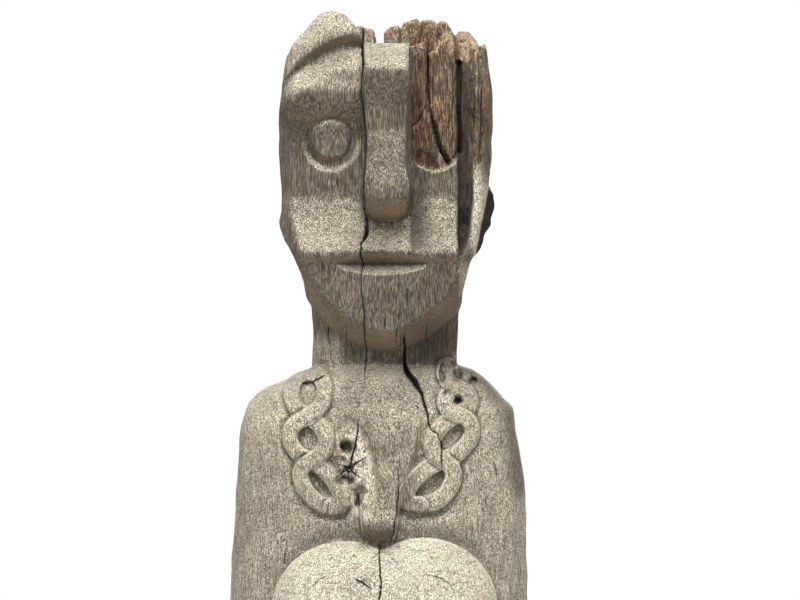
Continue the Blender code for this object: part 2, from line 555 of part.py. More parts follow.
def weathered_wood():
    material = bpy.data.materials.new("weathered_wood")
    material.use_nodes = True
    shader = material.node_tree.nodes["Principled BSDF"]
    shader.inputs["Base Color"].default_value = WOOD_COLOUR
    shader.inputs["Roughness"].default_value = WOOD_ROUGHNESS
    shader.inputs["Metallic"].default_value = 0.0
    return material


def guardian_figure():
    """The whole carved log, thinned to the triangles that its carving needs: most on the head and the
    chest."""
    grid, poles = body_grid(drawing())
    mesh = closed_mesh("guardian_figure", grid, poles)
    mesh.materials.append(weathered_wood())
    figure = bpy.data.objects.new("guardian_figure", mesh)
    bpy.context.scene.collection.objects.link(figure)
    thin = figure.modifiers.new("thin", "DECIMATE")
    triangles = sum(len(face.vertices) - 2 for face in mesh.polygons)
    thin.ratio = MOST_TRIANGLES / triangles
    thin.use_collapse_triangulate = True
    return figure


for old in list(bpy.data.objects):
    bpy.data.objects.remove(old)
guardian_figure()
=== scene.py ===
"""Dresses the guardian pole figure: one weathered log whose carving, cracks, rot and fibres are worked out
with numpy, and whose wood is procedural. Metres, +Z up, front towards -Y."""

import math
from types import SimpleNamespace

import bpy
import numpy as np
from bpy.props import FloatProperty, FloatVectorProperty, PointerProperty
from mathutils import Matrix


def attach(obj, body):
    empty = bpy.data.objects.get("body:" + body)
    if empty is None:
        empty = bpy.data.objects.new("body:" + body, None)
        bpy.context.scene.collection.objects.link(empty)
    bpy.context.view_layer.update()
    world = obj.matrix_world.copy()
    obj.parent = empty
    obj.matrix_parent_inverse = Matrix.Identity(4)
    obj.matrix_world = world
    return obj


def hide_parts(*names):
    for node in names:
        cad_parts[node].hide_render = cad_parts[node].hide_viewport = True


bl_info = {
    "name": "Guardian pole figure",
    "version": (1, 0, 0),
    "blender": (4, 5, 0),
    "location": "View3D > Sidebar > Guardian",
    "description": "Carves and weathers a guardian pole figure from one log",
    "category": "Add Mesh",
}

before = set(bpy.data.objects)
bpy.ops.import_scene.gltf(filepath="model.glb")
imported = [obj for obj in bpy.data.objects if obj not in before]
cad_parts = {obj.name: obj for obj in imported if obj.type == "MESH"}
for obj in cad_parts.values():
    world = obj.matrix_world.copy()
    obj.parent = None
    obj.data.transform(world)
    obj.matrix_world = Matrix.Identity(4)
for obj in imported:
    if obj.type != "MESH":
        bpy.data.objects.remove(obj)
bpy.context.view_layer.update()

# The carving is drawn on a figure 1534 units high, whose base takes the lowest 110 of them.
DRAWN_HEIGHT = 1534.0
DRAWN_BASE = 110.0
CROWN_START = 1400.0
MASK_CENTRE = 3.0
MASK_TURN = 1344.0
MASK_DROP = 145.0
EYE_LEVEL = 1394.0
EYE_OFFSET = 51.0
MOUTH_LEVEL = 1270.5
CHEST_START, HEAD_START = 880.0, 1180.0
HEART_X, HEART_Y = 12.0, 8.0
NOSE_CENTRE = 4.5
PANEL_CENTRE = -2.5
# The radius that turns an angle round the log into an arc.
ARC_RADIUS = 150.0
# Halving steps to the crown's height at the outline, and rounds of the neighbours' mean.
CROWN_STEPS, HOLLOW_STEPS = 6, 6
# A distance that is further than any on the figure.
FAR = 1e3

# The base's outline as (share of its radius, share of its height), from the middle of its underside.
BASE_PROFILE = ((0.25, 0.0), (0.5, 0.0), (0.75, 0.0), (0.97, 0.0), (1.0, 0.04), (1.0, 0.35), (1.0, 0.7),
                (1.0, 0.95), (0.98, 1.0))

# Cells after which the noise repeats.
LATTICE = 32

# Mesh density: cells round the log and up it, the voxel that evens them out, and the triangles that stay.
COLUMNS_FRONT, COLUMNS_BACK = 250, 120
ROWS_BODY, ROWS_CHEST, ROWS_HEAD, CAP_RINGS, FOOT_RINGS = 230, 220, 270, 46, 10
VOXEL = 0.0014
MOST_TRIANGLES = 195000

RING_SPACING = 0.0031
BUMP_HEIGHT = 0.0011
FLOOR_CORNERS = 96
FLOOR_DROP = 0.0005


def length(name, description, default):
    return FloatProperty(name=name, description=description, default=default, unit="LENGTH")


class FigureSizes(bpy.types.PropertyGroup):
    """Sizes of the carved figure."""

    figure_height: length("Height", "Underside to crown", 1.534)
    base_height: length("Base height", "Of the round base", 0.110)
    base_diameter: length("Base width", "Across the base", 0.310)
    shoulder_width: length("Shoulders", "Across the log", 0.314)
    torso_depth: length("Torso depth", "Front to back", 0.226)
    head_width: length("Head width", "Across the head", 0.227)
    head_depth: length("Head depth", "Front to back", 0.192)
    neck_width: length("Neck width", "Across the neck", 0.154)
    mask_width: length("Face width", "Across the mask", 0.196)
    mask_proud: length("Face relief", "Face in front of the head", 0.018)
    eye_diameter: length("Eye", "Across the eye's disc", 0.049)
    nose_width: length("Nose width", "Across the nose", 0.049)
    nose_proud: length("Nose relief", "Nose in front of the face", 0.049)
    mouth_width: length("Mouth width", "Across the mouth", 0.092)
    lobe_diameter: length("Lobe", "Across a chest lobe", 0.152)
    lobe_proud: length("Lobe relief", "Lobe in front of the chest", 0.044)
    chain_strand: length("Chain strand", "Width of a strand", 0.0172)
    chain_proud: length("Chain relief", "Height of a strand", 0.0072)
    arm_width: length("Arm width", "Across an arm", 0.050)
    knee_width: length("Knee width", "Across a knee", 0.118)
    fibre_relief: length("Fibres", "Relief of the raised grain", 0.0007)
    tool_relief: length("Tool marks", "Depth of the adze marks", 0.0009)
    rot_relief: length("Rot", "Relief of the rotted wood", 0.0034)
    check_depth: length("Checks", "Depth of the drying checks", 0.0050)


def colour(name, description, value):
    return FloatVectorProperty(name=name, description=description, subtype="COLOR", size=3, default=value,
                               min=0, max=1)


class WoodColours(bpy.types.PropertyGroup):
    """Colours of the weathered wood."""

    # Dark fibre also paints the shade in hollows and the shadow line along carved edges.
    dark_fibre_and_shade: colour("Dark fibre", "Furrows of the grain", (0.070, 0.055, 0.041))
    grey_fibre: colour("Grey fibre", "Weathered wood on upright faces", (0.128, 0.103, 0.075))
    pale_fibre: colour("Pale fibre", "Ridges of the grain", (0.195, 0.162, 0.120))
    # The next two are wood paled by the weather, and also paint the light that falls on faces turned to the
    # sky; the first also paints a highlight line along carved edges.
    bleached_and_lit: colour("Bleached", "Ridges of wood that faces the sky", (0.790, 0.718, 0.566))
    bleached_and_lit_dark: colour("Bleached, dark", "Furrows of wood that faces the sky", (0.390, 0.334, 0.250))
    # A tan of painted bounce light on faces turned down; it also colours the worm tracks.
    bounce_light_and_worm_tan: colour("Sheltered", "Wood that faces down", (0.230, 0.165, 0.095))
    rotten: colour("Rotten", "Red-brown rot", (0.100, 0.050, 0.029))
    rotten_pale: colour("Rotten, pale", "Fibres in the rot", (0.255, 0.180, 0.112))
    # Pale splinters of the rot, also painted as a highlight where the rot faces the sky.
    splinter_and_highlight: colour("Splinter", "Bleached edges of the rot", (0.480, 0.375, 0.250))
    # Dark stains, also painted as shade in the gap beside the cheek, under the chin, on the panel's tip and
    # above the lobes, and as the nose's shadow.
    stained_and_painted_shade: colour("Stained", "Dark stains and sheltered gaps", (0.046, 0.037, 0.030))
    # Near-black painted shade inside cracks, checks and pits.
    crack: colour("Crack", "Inside cracks", (0.014, 0.011, 0.009))
    # The palest wood on the lobes' tops, partly a painted highlight.
    sunlit: colour("Sunlit", "The palest wood, on the lobes", (0.950, 0.905, 0.745))


class StageSettings(bpy.types.PropertyGroup):
    """Camera and light."""

    camera_distance: length("Camera", "From lens to face", 1.6)
    camera_height: length("Eye height", "Of the camera", 1.234)
    camera_across: length("Across", "Right of the figure", 0.018)
    lens: FloatProperty(name="Lens", description="Focal length in mm on a 36 mm sensor", default=72.0)
    floor_radius: length("Floor", "Radius of the floor", 4.2)


def drawing_of(sizes):
    """The sizes as lengths on the drawn figure, with the metres that one drawn unit takes."""
    unit = (sizes.figure_height - sizes.base_height) / (DRAWN_HEIGHT - DRAWN_BASE)
    lengths = {name: getattr(sizes, name) / unit for name in FigureSizes.__annotations__}
    return SimpleNamespace(unit=unit, **lengths)


# Shapes on the drawn figure


def smooth(low, high, value):
    """0 below low, 1 above high, and 3t^2 - 2t^3 between them."""
    t = np.clip((value - low) / (high - low), 0.0, 1.0)
    return t * t * (3.0 - 2.0 * t)


def window(value, start, full, last, end):
    """1 from full to last, 0 outside start and end, and smooth steps between."""
    return smooth(start, full, value) * smooth(end, last, value)


def curve(points, value):
    """The cubic Hermite curve through (position, height) points whose slopes are the harmonic means of the
    steps beside them, so it never overshoots, read at value."""
    position, height = np.array(points, float).T
    step = np.diff(position)
    slope = np.diff(height) / step
    product, total = slope[:-1] * slope[1:], slope[:-1] + slope[1:]
    inner = np.where(product > 0.0, 2.0 * product / np.where(total == 0.0, 1.0, total), 0.0)
    tangent = np.concatenate(([0.0], inner, [0.0]))
    value = np.clip(value, position[0], position[-1])
    i = np.clip(np.searchsorted(position, value, side="right") - 1, 0, len(step) - 1)
    t = (value - position[i]) / step[i]
    left = height[i] * (1.0 + 2.0 * t) * (1.0 - t) ** 2 + tangent[i] * step[i] * t * (1.0 - t) ** 2
    return left + height[i + 1] * t * t * (3.0 - 2.0 * t) - tangent[i + 1] * step[i] * t * t * (1.0 - t)


def stroke(x, z, start, end):
    """How far along a straight stroke its point nearest to a place lies, from 0 to 1, and how far away."""
    dx, dz = end[0] - start[0], end[1] - start[1]
    t = np.clip(((x - start[0]) * dx + (z - start[1]) * dz) / (dx * dx + dz * dz), 0.0, 1.0)
    return t, np.hypot(x - start[0] - t * dx, z - start[1] - t * dz)


def line_distance(x, z, points):
    """The distance to a chain of straight strokes: to each stroke's nearest point, the least of them all."""
    nearest = np.full(np.broadcast(x, z).shape, 1e9)
    for start, end in zip(points[:-1], points[1:]):
        nearest = np.minimum(nearest, stroke(x, z, start, end)[1])
    return nearest


def groove(x, z, points, width, depth):
    """A crack along the strokes: full depth in the middle, and a smooth step to nothing at its edges."""
    return depth * (1.0 - smooth(0.25 * width, 0.75 * width, line_distance(x, z, points)))


def cleft(x, z, points, depth):
    """A crack through (x, z, width) points: a smooth step to nothing at its edges, and shallower than its
    depth where it is narrower than 4."""
    side, half = crack_side(x, z, [points])
    shallower = depth * np.minimum(half / 2.0, 1.0)
    return shallower * (1.0 - smooth(0.3, 1.5, np.abs(side) / np.maximum(half, 0.1)))


def crack_side(x, z, cracks):
    """The distance to the nearest crack's middle line, negative on the right of the way it is drawn, and
    half the crack's width there. Each crack is a list of (x, z, width) points."""
    shape = np.broadcast(x, z).shape
    nearest, side, half = np.full(shape, 1e9), np.full(shape, 1e9), np.zeros(shape)
    for points in cracks:
        for start, end in zip(points[:-1], points[1:]):
            t, away = stroke(x, z, start, end)
            over = (end[0] - start[0]) * (z - start[1]) - (end[1] - start[1]) * (x - start[0])
            turn = np.where(over < 0.0, -1.0, 1.0)
            closer = away < nearest
            nearest = np.where(closer, away, nearest)
            side = np.where(closer, away * turn, side)
            half = np.where(closer, (start[2] + (end[2] - start[2]) * t) / 2.0, half)
    return side, half


def grain(points, cell, seed):
    """Value noise from -1 to 1: random numbers on a lattice of cells, blended along each axis by 3t^2 - 2t^3.
    The lattice repeats every 32 cells."""
    table = np.random.default_rng(seed).random((LATTICE, LATTICE, LATTICE)) * 2.0 - 1.0
    place = points / np.array(cell, float)
    low = np.floor(place).astype(int)
    t = place - low
    t = t * t * (3.0 - 2.0 * t)
    total = np.zeros(len(points))
    for corner in np.ndindex(2, 2, 2):
        weight = np.prod(np.where(np.array(corner, bool), t, 1.0 - t), axis=1)
        i, j, k = ((low + corner) % LATTICE).T
        total += weight * table[i, j, k]
    return total


def reach(cosine, sine, centre_x, centre_y, radius_x, radius_y):
    """How far a ray from the log's axis goes before it leaves an ellipse, the larger root of a quadratic,
    and 0 where it misses."""
    a = (cosine / radius_x) ** 2 + (sine / radius_y) ** 2
    b = cosine * centre_x / radius_x**2 + sine * centre_y / radius_y**2
    c = (centre_x / radius_x) ** 2 + (centre_y / radius_y) ** 2 - 1.0
    inside = b * b - a * c
    return np.where(inside > 0.0, (b + np.sqrt(np.maximum(inside, 0.0))) / a, 0.0)


def half_width(d, z, side):
    """The outline's half-width at a height, on the left (-1) or the right (+1): shares of the torso's, the
    neck's and the head's, joined by a smooth curve."""
    torso, neck, head = d.shoulder_width / 2.0, d.neck_width / 2.0, d.head_width / 2.0
    body = [(110, 0.30), (520, 0.34), (560, 0.62), (600, 0.93), (660, 0.99), (740, 1.01)]
    left = [(915, 1.03), (1000, 1.0), (1053, 0.98), (1096, 0.96), (1122, 0.914), (1139, 0.805), (1149, 0.665),
            (1155, 0.60)]
    right = [(915, 0.975), (1021, 0.962), (1069, 0.927), (1096, 0.893), (1119, 0.873), (1129, 0.81),
             (1146, 0.72), (1160, 0.61)]
    left_neck, right_neck = [(1163, 0.97), (1202, 0.967), (1223, 0.98)], [(1166, 1.02), (1202, 1.033)]
    left_head = [(1250, 0.69), (1274, 0.765), (1295, 0.85), (1324, 0.905), (1351, 0.918), (1393, 0.936),
                 (1436, 0.910), (1460, 0.89), (1474, 0.868), (1489, 0.84), (1510, 0.822), (1534, 0.80)]
    right_head = [(1234, 0.715), (1262, 0.755), (1290, 0.83), (1330, 0.945), (1356, 0.968), (1383, 0.99),
                  (1425, 1.0), (1462, 0.985), (1500, 0.92), (1534, 0.86)]
    parts = ((left, left_neck, left_head), (right, right_neck, right_head))[side > 0]
    points = [(level, share * torso) for level, share in body + parts[0]]
    points += [(level, share * neck) for level, share in parts[1]]
    points += [(level, share * head) for level, share in parts[2]]
    return curve(points, z)


def half_depth(d, z, back):
    """How far the log goes forwards or backwards at a height, before the carving on it."""
    torso, head = d.torso_depth / 2.0, d.head_depth / 2.0
    if back:
        body = [(110, 0.25), (520, 0.30), (560, 0.70), (610, 1.06), (680, 1.0), (760, 0.90), (900, 0.97),
                (1040, 1.02), (1100, 0.97), (1140, 0.80), (1162, 0.64), (1200, 0.62)]
        top = [(1250, 0.86), (1310, 1.08), (1400, 1.16), (1480, 1.12), (1534, 0.98)]
    else:
        body = [(110, 0.20), (520, 0.30), (560, 0.70), (610, 0.98), (700, 1.04), (800, 1.0), (915, 0.975),
                (1000, 0.95), (1053, 0.915), (1096, 0.86), (1130, 0.77), (1155, 0.66), (1166, 0.53),
                (1200, 0.51)]
        top = [(1230, 0.70), (1260, 0.80), (1290, 0.87), (1340, 0.90), (1480, 0.90), (1512, 0.77),
               (1534, 0.66)]
    points = [(level, share * torso) for level, share in body]
    return curve(points + [(level, share * head) for level, share in top], z)


def arms(d, arc, z):
    """Two arms in low relief: a raised band along strokes down the side and across the belly, a rounded
    hand with cosine furrows between its fingers, and a groove inside the upper arm. Arc is measured from
    the front."""
    width = d.arm_width / 2.0
    arc = np.abs(arc)
    limb = line_distance(arc, z, [(205, 960), (206, 770), (196, 742), (120, 716), (84, 712)])
    hand = np.hypot((arc - 62.0) / 1.25, z - 712.0)
    round_edge = smooth(0.0, 1.0, (width - np.minimum(limb, hand)) / 9.0 + 0.5)
    raised = 13.0 * round_edge * (1.0 - smooth(850.0, 925.0, z))
    fingers = 4.0 * smooth(0.72, 0.95, np.abs(np.cos((z - 712.0) * np.pi / 11.0)))
    on_hand = (hand < width) & (arc < 66.0)
    inner = groove(arc, z, [(176, 905), (177, 790), (166, 768)], 12.0, 7.0)
    return raised - np.where(on_hand, fingers, 0.0) - inner


def waist(arc, z):
    """A plain band round the waist."""
    return 5.0 * smooth(0.0, 4.0, 13.0 - np.abs(z - 603.0)) * np.ones_like(arc)


def ears(cosine, sine, z):
    """The stumps of the ears on the sides of the head: a charred flap on the right and a nub on the left,
    each a rounded bump over the height and over the angle."""
    right = curve([(1274, 0), (1284, 5), (1292, 7), (1300, 6), (1310, 9), (1318, 7), (1330, 8), (1341, 5),
                   (1347, 2), (1353, 0)], z)
    left = curve([(1286, 0), (1296, 3), (1312, 4), (1322, 1), (1326, 0)], z)
    beside = smooth(0.80, 0.93, np.abs(cosine)) * smooth(0.55, 0.30, sine)
    return np.where(cosine > 0.0, right, left) * beside


def log_radius(d, cosine, sine, z):
    """The log's outline round its axis: the greatest reach of a superellipse, two ellipses for the bent
    legs, two for the feet and one for the apron."""
    width = np.where(cosine < 0.0, half_width(d, z, -1), half_width(d, z, 1))
    depth = np.where(sine < 0.0, half_depth(d, z, False), half_depth(d, z, True))
    squareness = curve([(110, 2.0), (600, 2.3), (900, 2.3), (1166, 2.15), (1220, 2.2), (1290, 2.9),
                        (1534, 3.0)], z)
    power = np.where(sine < 0.0, squareness, np.minimum(squareness, 2.4))
    radius = (np.abs(cosine / width) ** power + np.abs(sine / depth) ** power) ** (-1.0 / power)
    radius = radius + ears(cosine, sine, z)
    spread = curve([(110, 62), (280, 66), (400, 68), (560, 68), (640, 50)], z)
    thick = curve([(110, 0.80), (165, 0.78), (290, 0.93), (345, 0.90), (400, 1.0), (470, 1.06), (560, 1.30),
                   (640, 0.9)], z) * d.knee_width / 2.0
    forward = curve([(110, 6), (170, 4), (290, 16), (345, 0), (400, -34), (470, -22), (560, -4), (640, 0)], z)
    foot = smooth(196.0, 120.0, z)
    for side in (-1.0, 1.0):
        leg = reach(cosine, sine, side * spread, forward, thick, thick * 1.08)
        sole = reach(cosine, sine, side * 60.0, -12.0 - 30.0 * foot, 16.0 + 28.0 * foot, 14.0 + 66.0 * foot)
        radius = np.maximum(radius, np.where(z < 640.0, leg, 0.0))
        radius = np.maximum(radius, np.where(z < 200.0, sole, 0.0))
    apron_width = 62.0 - 10.0 * smooth(430.0, 604.0, z)
    apron = reach(cosine, sine, 0.0, -72.0 - 8.0 * smooth(430.0, 560.0, z), apron_width, 31.0)
    return np.maximum(radius, np.where((z > 428.0) & (z < 604.0), apron, 0.0))


def mask_edge(d, x, z):
    """How far a point lies inside the mask's outline: straight sides, and a superellipse for the jaw."""
    half, roundness = d.mask_width / 2.0, 1.87
    across, down = np.abs(x - MASK_CENTRE), np.maximum(MASK_TURN - z, 0.0)
    share = ((across / half) ** roundness + (down / MASK_DROP) ** roundness) ** (1.0 / roundness)
    return np.where(down > 0.0, np.hypot(across, down) * (1.0 / np.maximum(share, 1e-3) - 1.0), half - across)


def brow_line(x):
    """The height of the brow's lower lip: highest beside the nose, and falling to the temple as a
    parabola."""
    return 1501.0 - 42.0 * (np.clip(-27.0 - x, 0.0, 74.0) / 70.0) ** 2


def mask_depth(d, x, z):
    """How far the mask's face lies in front of the log's axis: a profile over the height, a step back
    under the brow, a forehead that leans back, and a bevel outside the outline."""
    front = d.head_depth / 2.0 + d.mask_proud - 18.0
    brow = brow_line(x)
    under = 3.0 + 7.0 * smooth(-97.0, -60.0, x)
    socket = curve([(1199, 8), (1232, 12), (1255, 14), (1271, 17), (1278, 21), (1300, 9), (1326, -4),
                    (1340, -9), (1370, -11), (1395, -9), (1410, -5), (1428, 3), (1442, 6), (1458, 3),
                    (1534, 0)], z)
    socket = socket - 13.0 * smooth(brow - under - 32.0, brow - under + 3.0, z)
    rise = np.clip((z - brow) / 36.0, 0.0, 1.7)
    forehead = 1.0 - 7.0 * rise - 18.0 * rise**2 - 5.0 * smooth(-60.0, -97.0, x)
    step = smooth(brow - under, brow, z)
    plane = front + np.where(x < 0.0, socket + (forehead - socket) * step, socket)
    edge = mask_edge(d, x, z)
    bevel = 4.0 * smooth(5.0, 0.0, edge) + 2.0 * np.maximum(-edge, 0.0) + 9.0 * np.maximum(-edge - 15.0, 0.0)
    return plane - bevel


def eye_distance(x, z):
    return np.hypot(x + EYE_OFFSET, z - EYE_LEVEL)


def eye(d, x, z):
    """A flat-topped disc with a wide bevel, in a round hollow that is cut deeper towards its lower edge,
    where its wall leans out as a ledge."""
    radius = d.eye_diameter / 2.0
    away = eye_distance(x, z)
    low = smooth(16.0, -22.0, z - EYE_LEVEL)
    floor = 3.0 + 8.0 * low
    inside = 1.0 - smooth(radius, radius + 2.0 + 4.5 * low, away)
    disc = (floor + 3.0) * (1.0 - smooth(0.64 * radius, 0.98 * radius, away))
    return disc - floor * inside


def nose(d, x, z):
    """A long block: a ridge profile over the height with a bulge at the brow, a hollow bridge and a blunt
    tip, times a flat section with steep sides."""
    half = d.nose_width / 2.0 * curve([(1312, 0.40), (1317, 0.66), (1324, 0.88), (1334, 0.98), (1346, 1.0),
                                       (1384, 0.87), (1414, 0.92), (1442, 1.0), (1489, 1.0)], z)
    ridge = curve([(1309, -0.05), (1315, 0.34), (1321, 0.72), (1328, 0.93), (1335, 0.99), (1348, 0.95),
                   (1362, 0.87), (1379, 0.77), (1393, 0.69), (1405, 0.63), (1420, 0.64), (1440, 0.75),
                   (1458, 0.82), (1478, 0.54), (1492, 0.22)], z)
    across = np.clip(np.abs(x - NOSE_CENTRE) / half, 0.0, 1.4)
    tip = smooth(1345.0, 1318.0, z)
    sides = (3.0 + 9.0 * tip) * across**4 + 60.0 * smooth(0.90, 1.14, across)
    return d.head_depth / 2.0 - 5.0 + d.nose_proud * ridge - sides


def mouth(d, x, z):
    """A long lens cut as a notch: the upper lip faces down and the lower lip faces up."""
    half = d.mouth_width / 2.0
    taper = np.sqrt(np.clip(1.0 - (x / half) ** 2, 0.0, 1.0))
    above = np.clip(1.0 - (z - MOUTH_LEVEL) / (10.5 * taper + 1e-6), 0.0, 1.0)
    below = np.clip(1.0 - (MOUTH_LEVEL - z) / (11.5 * taper + 1e-6), 0.0, 1.0)
    return -16.0 * taper * np.where(z > MOUTH_LEVEL, above, below)


def rot_edge(x, z):
    """1 in the rotted eye and brow on the right, 0 on sound wood. Its lower edge is the old eye hollow's
    rim."""
    rim = EYE_LEVEL - np.sqrt(np.clip(29.0**2 - (x - EYE_OFFSET - 1.0) ** 2, 0.0, None)) + 1.5
    return smooth(27.0, 30.0, x) * smooth(rim - 3.0, rim + 1.0, z) * smooth(81.0, 78.0, x)


# The gaps between the rotted slabs, as (x, z, width) points.
SLAB_GAPS = [[(46, 1492, 3.0), (46.5, 1474, 5.5), (47, 1440, 5.0), (49, 1424, 4.0), (54, 1404, 5.0),
              (60, 1384, 6.0), (66, 1374, 4.0)],
             [(29, 1409, 2.5), (36, 1414, 3.0), (44, 1430, 2.5)]]


def rot_depth(x, z):
    """The slabs that are left in the rotted hollow, with dark gaps between them."""
    slab = np.where(x < 44.0, 84.0 - 0.3 * (x - 29.0), 82.0 - 0.035 * (x - 52.0) ** 2)
    wedge = smooth(0.0, 2.0, 44.0 + 0.22 * (1419.0 - z) - x) * smooth(1424.0, 1418.0, z)
    slab = slab + (75.0 - slab) * wedge * smooth(27.0, 34.0, x)
    slab = slab - 10.0 * smooth(1400.0, 1370.0, z)
    return slab - np.maximum(cleft(x, z, SLAB_GAPS[0], 20.0), cleft(x, z, SLAB_GAPS[1], 12.0))


def jaw_ridge(d, x, z):
    """1 on the mask's own rim below the right ear, which the rot has left standing."""
    return smooth(11.0, 8.0, mask_edge(d, x, z)) * smooth(1378.0, 1338.0, z)


def side_gap(d, x, z):
    """How far the right temple has rotted back beside the cheek, as deep as 33 next to it and less further
    out. The mask's rim stays as a ridge below the ear."""
    depth = 33.0 - 18.0 * smooth(84.0, 93.0, x)
    edge = 75.5 + 0.004 * (1440.0 - z)
    across = smooth(edge, edge + 2.5, x)
    splits = groove(x, z, [(100, 1482), (101, 1430), (99, 1374)], 2.6, 5.0)
    splits = np.maximum(splits, groove(x, z, [(91, 1534), (90, 1420), (86, 1310)], 3.0, 8.0))
    return (depth + splits) * across * smooth(1262.0, 1276.0, z) * (1.0 - jaw_ridge(d, x, z))


# The chains' crossings as (height, x) from the lowest up, and how far their bands swing between them. The
# right chain is the mirror image of one that is drawn on the left.
LEFT_CROSSINGS = [(1028, -50), (1072, -72), (1116, -76), (1159, -76)]
LEFT_SWING = [16, 19, 19, 16]
RIGHT_CROSSINGS = [(1030, -38), (1073, -61), (1118, -77), (1144, -77), (1164, -70)]
RIGHT_SWING = [21, 21, 16, 11, 8]


def bands(x, z, crossings, swing):
    """The distances to the middle lines of a chain's upper and lower band, how far apart they run, and the
    place of their axis. The lines swing to either side by the sine, to the power 0.65, of the count of
    crossings passed."""
    levels, places = np.array(crossings, float).T
    counts = np.arange(len(crossings))
    steps = np.linspace(0.0, counts[-1], 8 * counts[-1] + 1)
    path_z = curve(list(zip(counts, levels)), steps)
    turn = np.sin(np.pi * steps)
    swung = curve(list(zip(counts, swing)), steps) * np.sign(turn) * np.abs(turn) ** 0.65
    axis = curve(list(zip(counts, places)), steps)
    first = line_distance(x, z, list(zip(axis + swung, path_z)))
    second = line_distance(x, z, list(zip(axis - swung, path_z)))
    first_over = np.cos(np.pi * np.round(np.interp(z, path_z, steps))) > 0.0
    apart, middle = np.abs(np.interp(z, path_z, swung)), np.interp(z, path_z, axis)
    return np.where(first_over, first, second), np.where(first_over, second, first), apart, middle


def chain(d, x, z, crossings, swing):
    """An interlaced chain in relief: flat bands of which the lower one stops beside the upper one, with a V
    cut along them and dished holes between them."""
    half, proud = d.chain_strand / 2.0, d.chain_proud
    top, under, apart, middle = bands(x, z, crossings, swing)
    profile = proud * np.sqrt(np.clip(1.0 - (top / half) ** 7, 0.0, 1.0))
    passing = proud * np.sqrt(np.clip(1.0 - (under / half) ** 7, 0.0, 1.0)) * smooth(half, half + 2.5, top)
    low = smooth(crossings[0][0] + 12.0, crossings[0][0] - 6.0, z)
    trench = 1.0 - smooth(half + 1.0, half + 6.0 + 5.0 * low, np.minimum(top, under))
    dish = smooth(-1.0, 4.0, apart - half - np.abs(x - middle))
    band = np.maximum(profile, passing)
    relief = np.where(band > 0.0, band, np.minimum(-(4.0 + 2.0 * low) * trench, -6.0 * dish))
    return relief * (z > crossings[0][0] - 22.0) * (z < crossings[-1][0] + 14.0)


LOBE_CENTRES = ((-36.0, 918.0), (41.0, 921.0))


def lobe_sides(d, x, z):
    """The distance to each lobe's outline, negative inside it."""
    return [np.hypot(x - centre, z - level) - d.lobe_diameter / 2.0 for centre, level in LOBE_CENTRES]


def lobes(d, x, z):
    """Two rounded lobes on the chest, each a flattened dome, that meet in a crease."""
    radius = d.lobe_diameter / 2.0
    height = np.zeros(np.broadcast(x, z).shape)
    for centre, level in LOBE_CENTRES:
        share = np.hypot(x - centre, z - level) / radius
        height = np.maximum(height, d.lobe_proud * np.clip(1.0 - share**2, 0.0, 1.0) ** 0.46)
    return height


def pit(x, z, centre_x, centre_z, half_x, half_z, depth):
    """A rounded pit: deepest in the middle of an ellipse, and a smooth step to nothing at its rim."""
    return depth * (1.0 - smooth(0.45, 1.0, np.hypot((x - centre_x) / half_x, (z - centre_z) / half_z)))


def knot_pits(x, z):
    """The knot hole, the scoop below it, the rotted ends of the lowest link, and the holes in the worn top
    links."""
    pits = pit(x, z, -35.5, 1086.5, 9.5, 8.0, 16.0) + pit(x, z, -42.0, 1068.0, 15.0, 13.0, 6.0)
    pits = pits + pit(x, z, -37.0, 1053.0, 12.0, 7.0, 11.0) + pit(x, z, -22.0, 1038.0, 6.0, 16.0, 10.0)
    pits = pits + pit(x, z, 61.0, 1157.0, 4.5, 11.0, 16.0) + pit(x, z, 77.5, 1157.0, 7.5, 10.0, 20.0)
    return pits + pit(x, z, 94.0, 1149.0, 7.0, 5.5, 12.0)


def knot_patch(x, z):
    """1 on the pale, crumbled wood round the knot."""
    lean = (x + 27.0) + 0.16 * (z - 1066.0)
    return 1.0 - smooth(0.78, 1.06, np.hypot(lean / 21.0, (z - 1066.0) / 49.0))


PANEL_HALF = [(984, 3), (989, 11), (998, 16), (1014, 19), (1035, 20), (1070, 34), (1110, 42), (1166, 46)]


def chest(d, x, z):
    """What is carved on the front of the torso: a tapering panel with a rounded tip that is cut back
    underneath, two chains, the lobes, and a crumbled knot."""
    panel_half = curve(PANEL_HALF, z)
    panel_height = curve([(984, 0), (990, 4), (1014, 17), (1024, 15), (1050, 10), (1090, 6), (1160, 3)], z)
    inside = smooth(-2.0, 4.0, panel_half - np.abs(x - PANEL_CENTRE))
    panel = inside * panel_height * (z > 984.0) * (z < 1166.0)
    left = chain(d, x, z, LEFT_CROSSINGS, LEFT_SWING)
    right = chain(d, -x, z, RIGHT_CROSSINGS, RIGHT_SWING)
    links = (left + right) * (1.0 - knot_patch(x, z))
    raised = np.where(panel > 0.5, np.maximum(panel, links), links)
    above_lobes = -5.0 * smooth(1016.0, 985.0, z) * (1.0 - smooth(70.0, 120.0, np.abs(x - 2.0)))
    return raised + above_lobes - 3.0 * knot_patch(x, z) - knot_pits(x, z) + lobes(d, x, z)


# Cracks on the drawn figure as (x, z, width) points: beside the nose, from the neck down past the panel, and
# the thin ones on the panel, the chains, the knot, the neck and the lobes.
FACE_CRACK = [(-20, 1540, 2.2), (-20, 1489, 2.8), (-18.5, 1466, 3.4), (-21, 1443, 1.9), (-18.5, 1424, 2.2),
              (-15.5, 1394, 2.1), (-17.5, 1354, 1.8), (-17, 1322, 1.8), (-15, 1309, 2.9), (-16, 1296, 3.1),
              (-20, 1290, 1.8), (-21, 1278, 2.2), (-19, 1272, 1.8), (-21, 1262, 1.3), (-20, 1244, 1.3),
              (-17, 1204, 1.7), (-17, 1170, 1.4), (-18, 1130, 0.0)]
CHEST_CRACK = [(23, 1196, 2.6), (22, 1168, 3.2), (26, 1159, 5.0), (33, 1150, 4.6), (39, 1140, 3.2),
               (42, 1129, 2.6), (46, 1118, 2.2), (49, 1104, 2.0), (56, 1100, 1.3), (59, 1089, 1.6),
               (60, 1074, 1.5), (61, 1050, 0.0)]
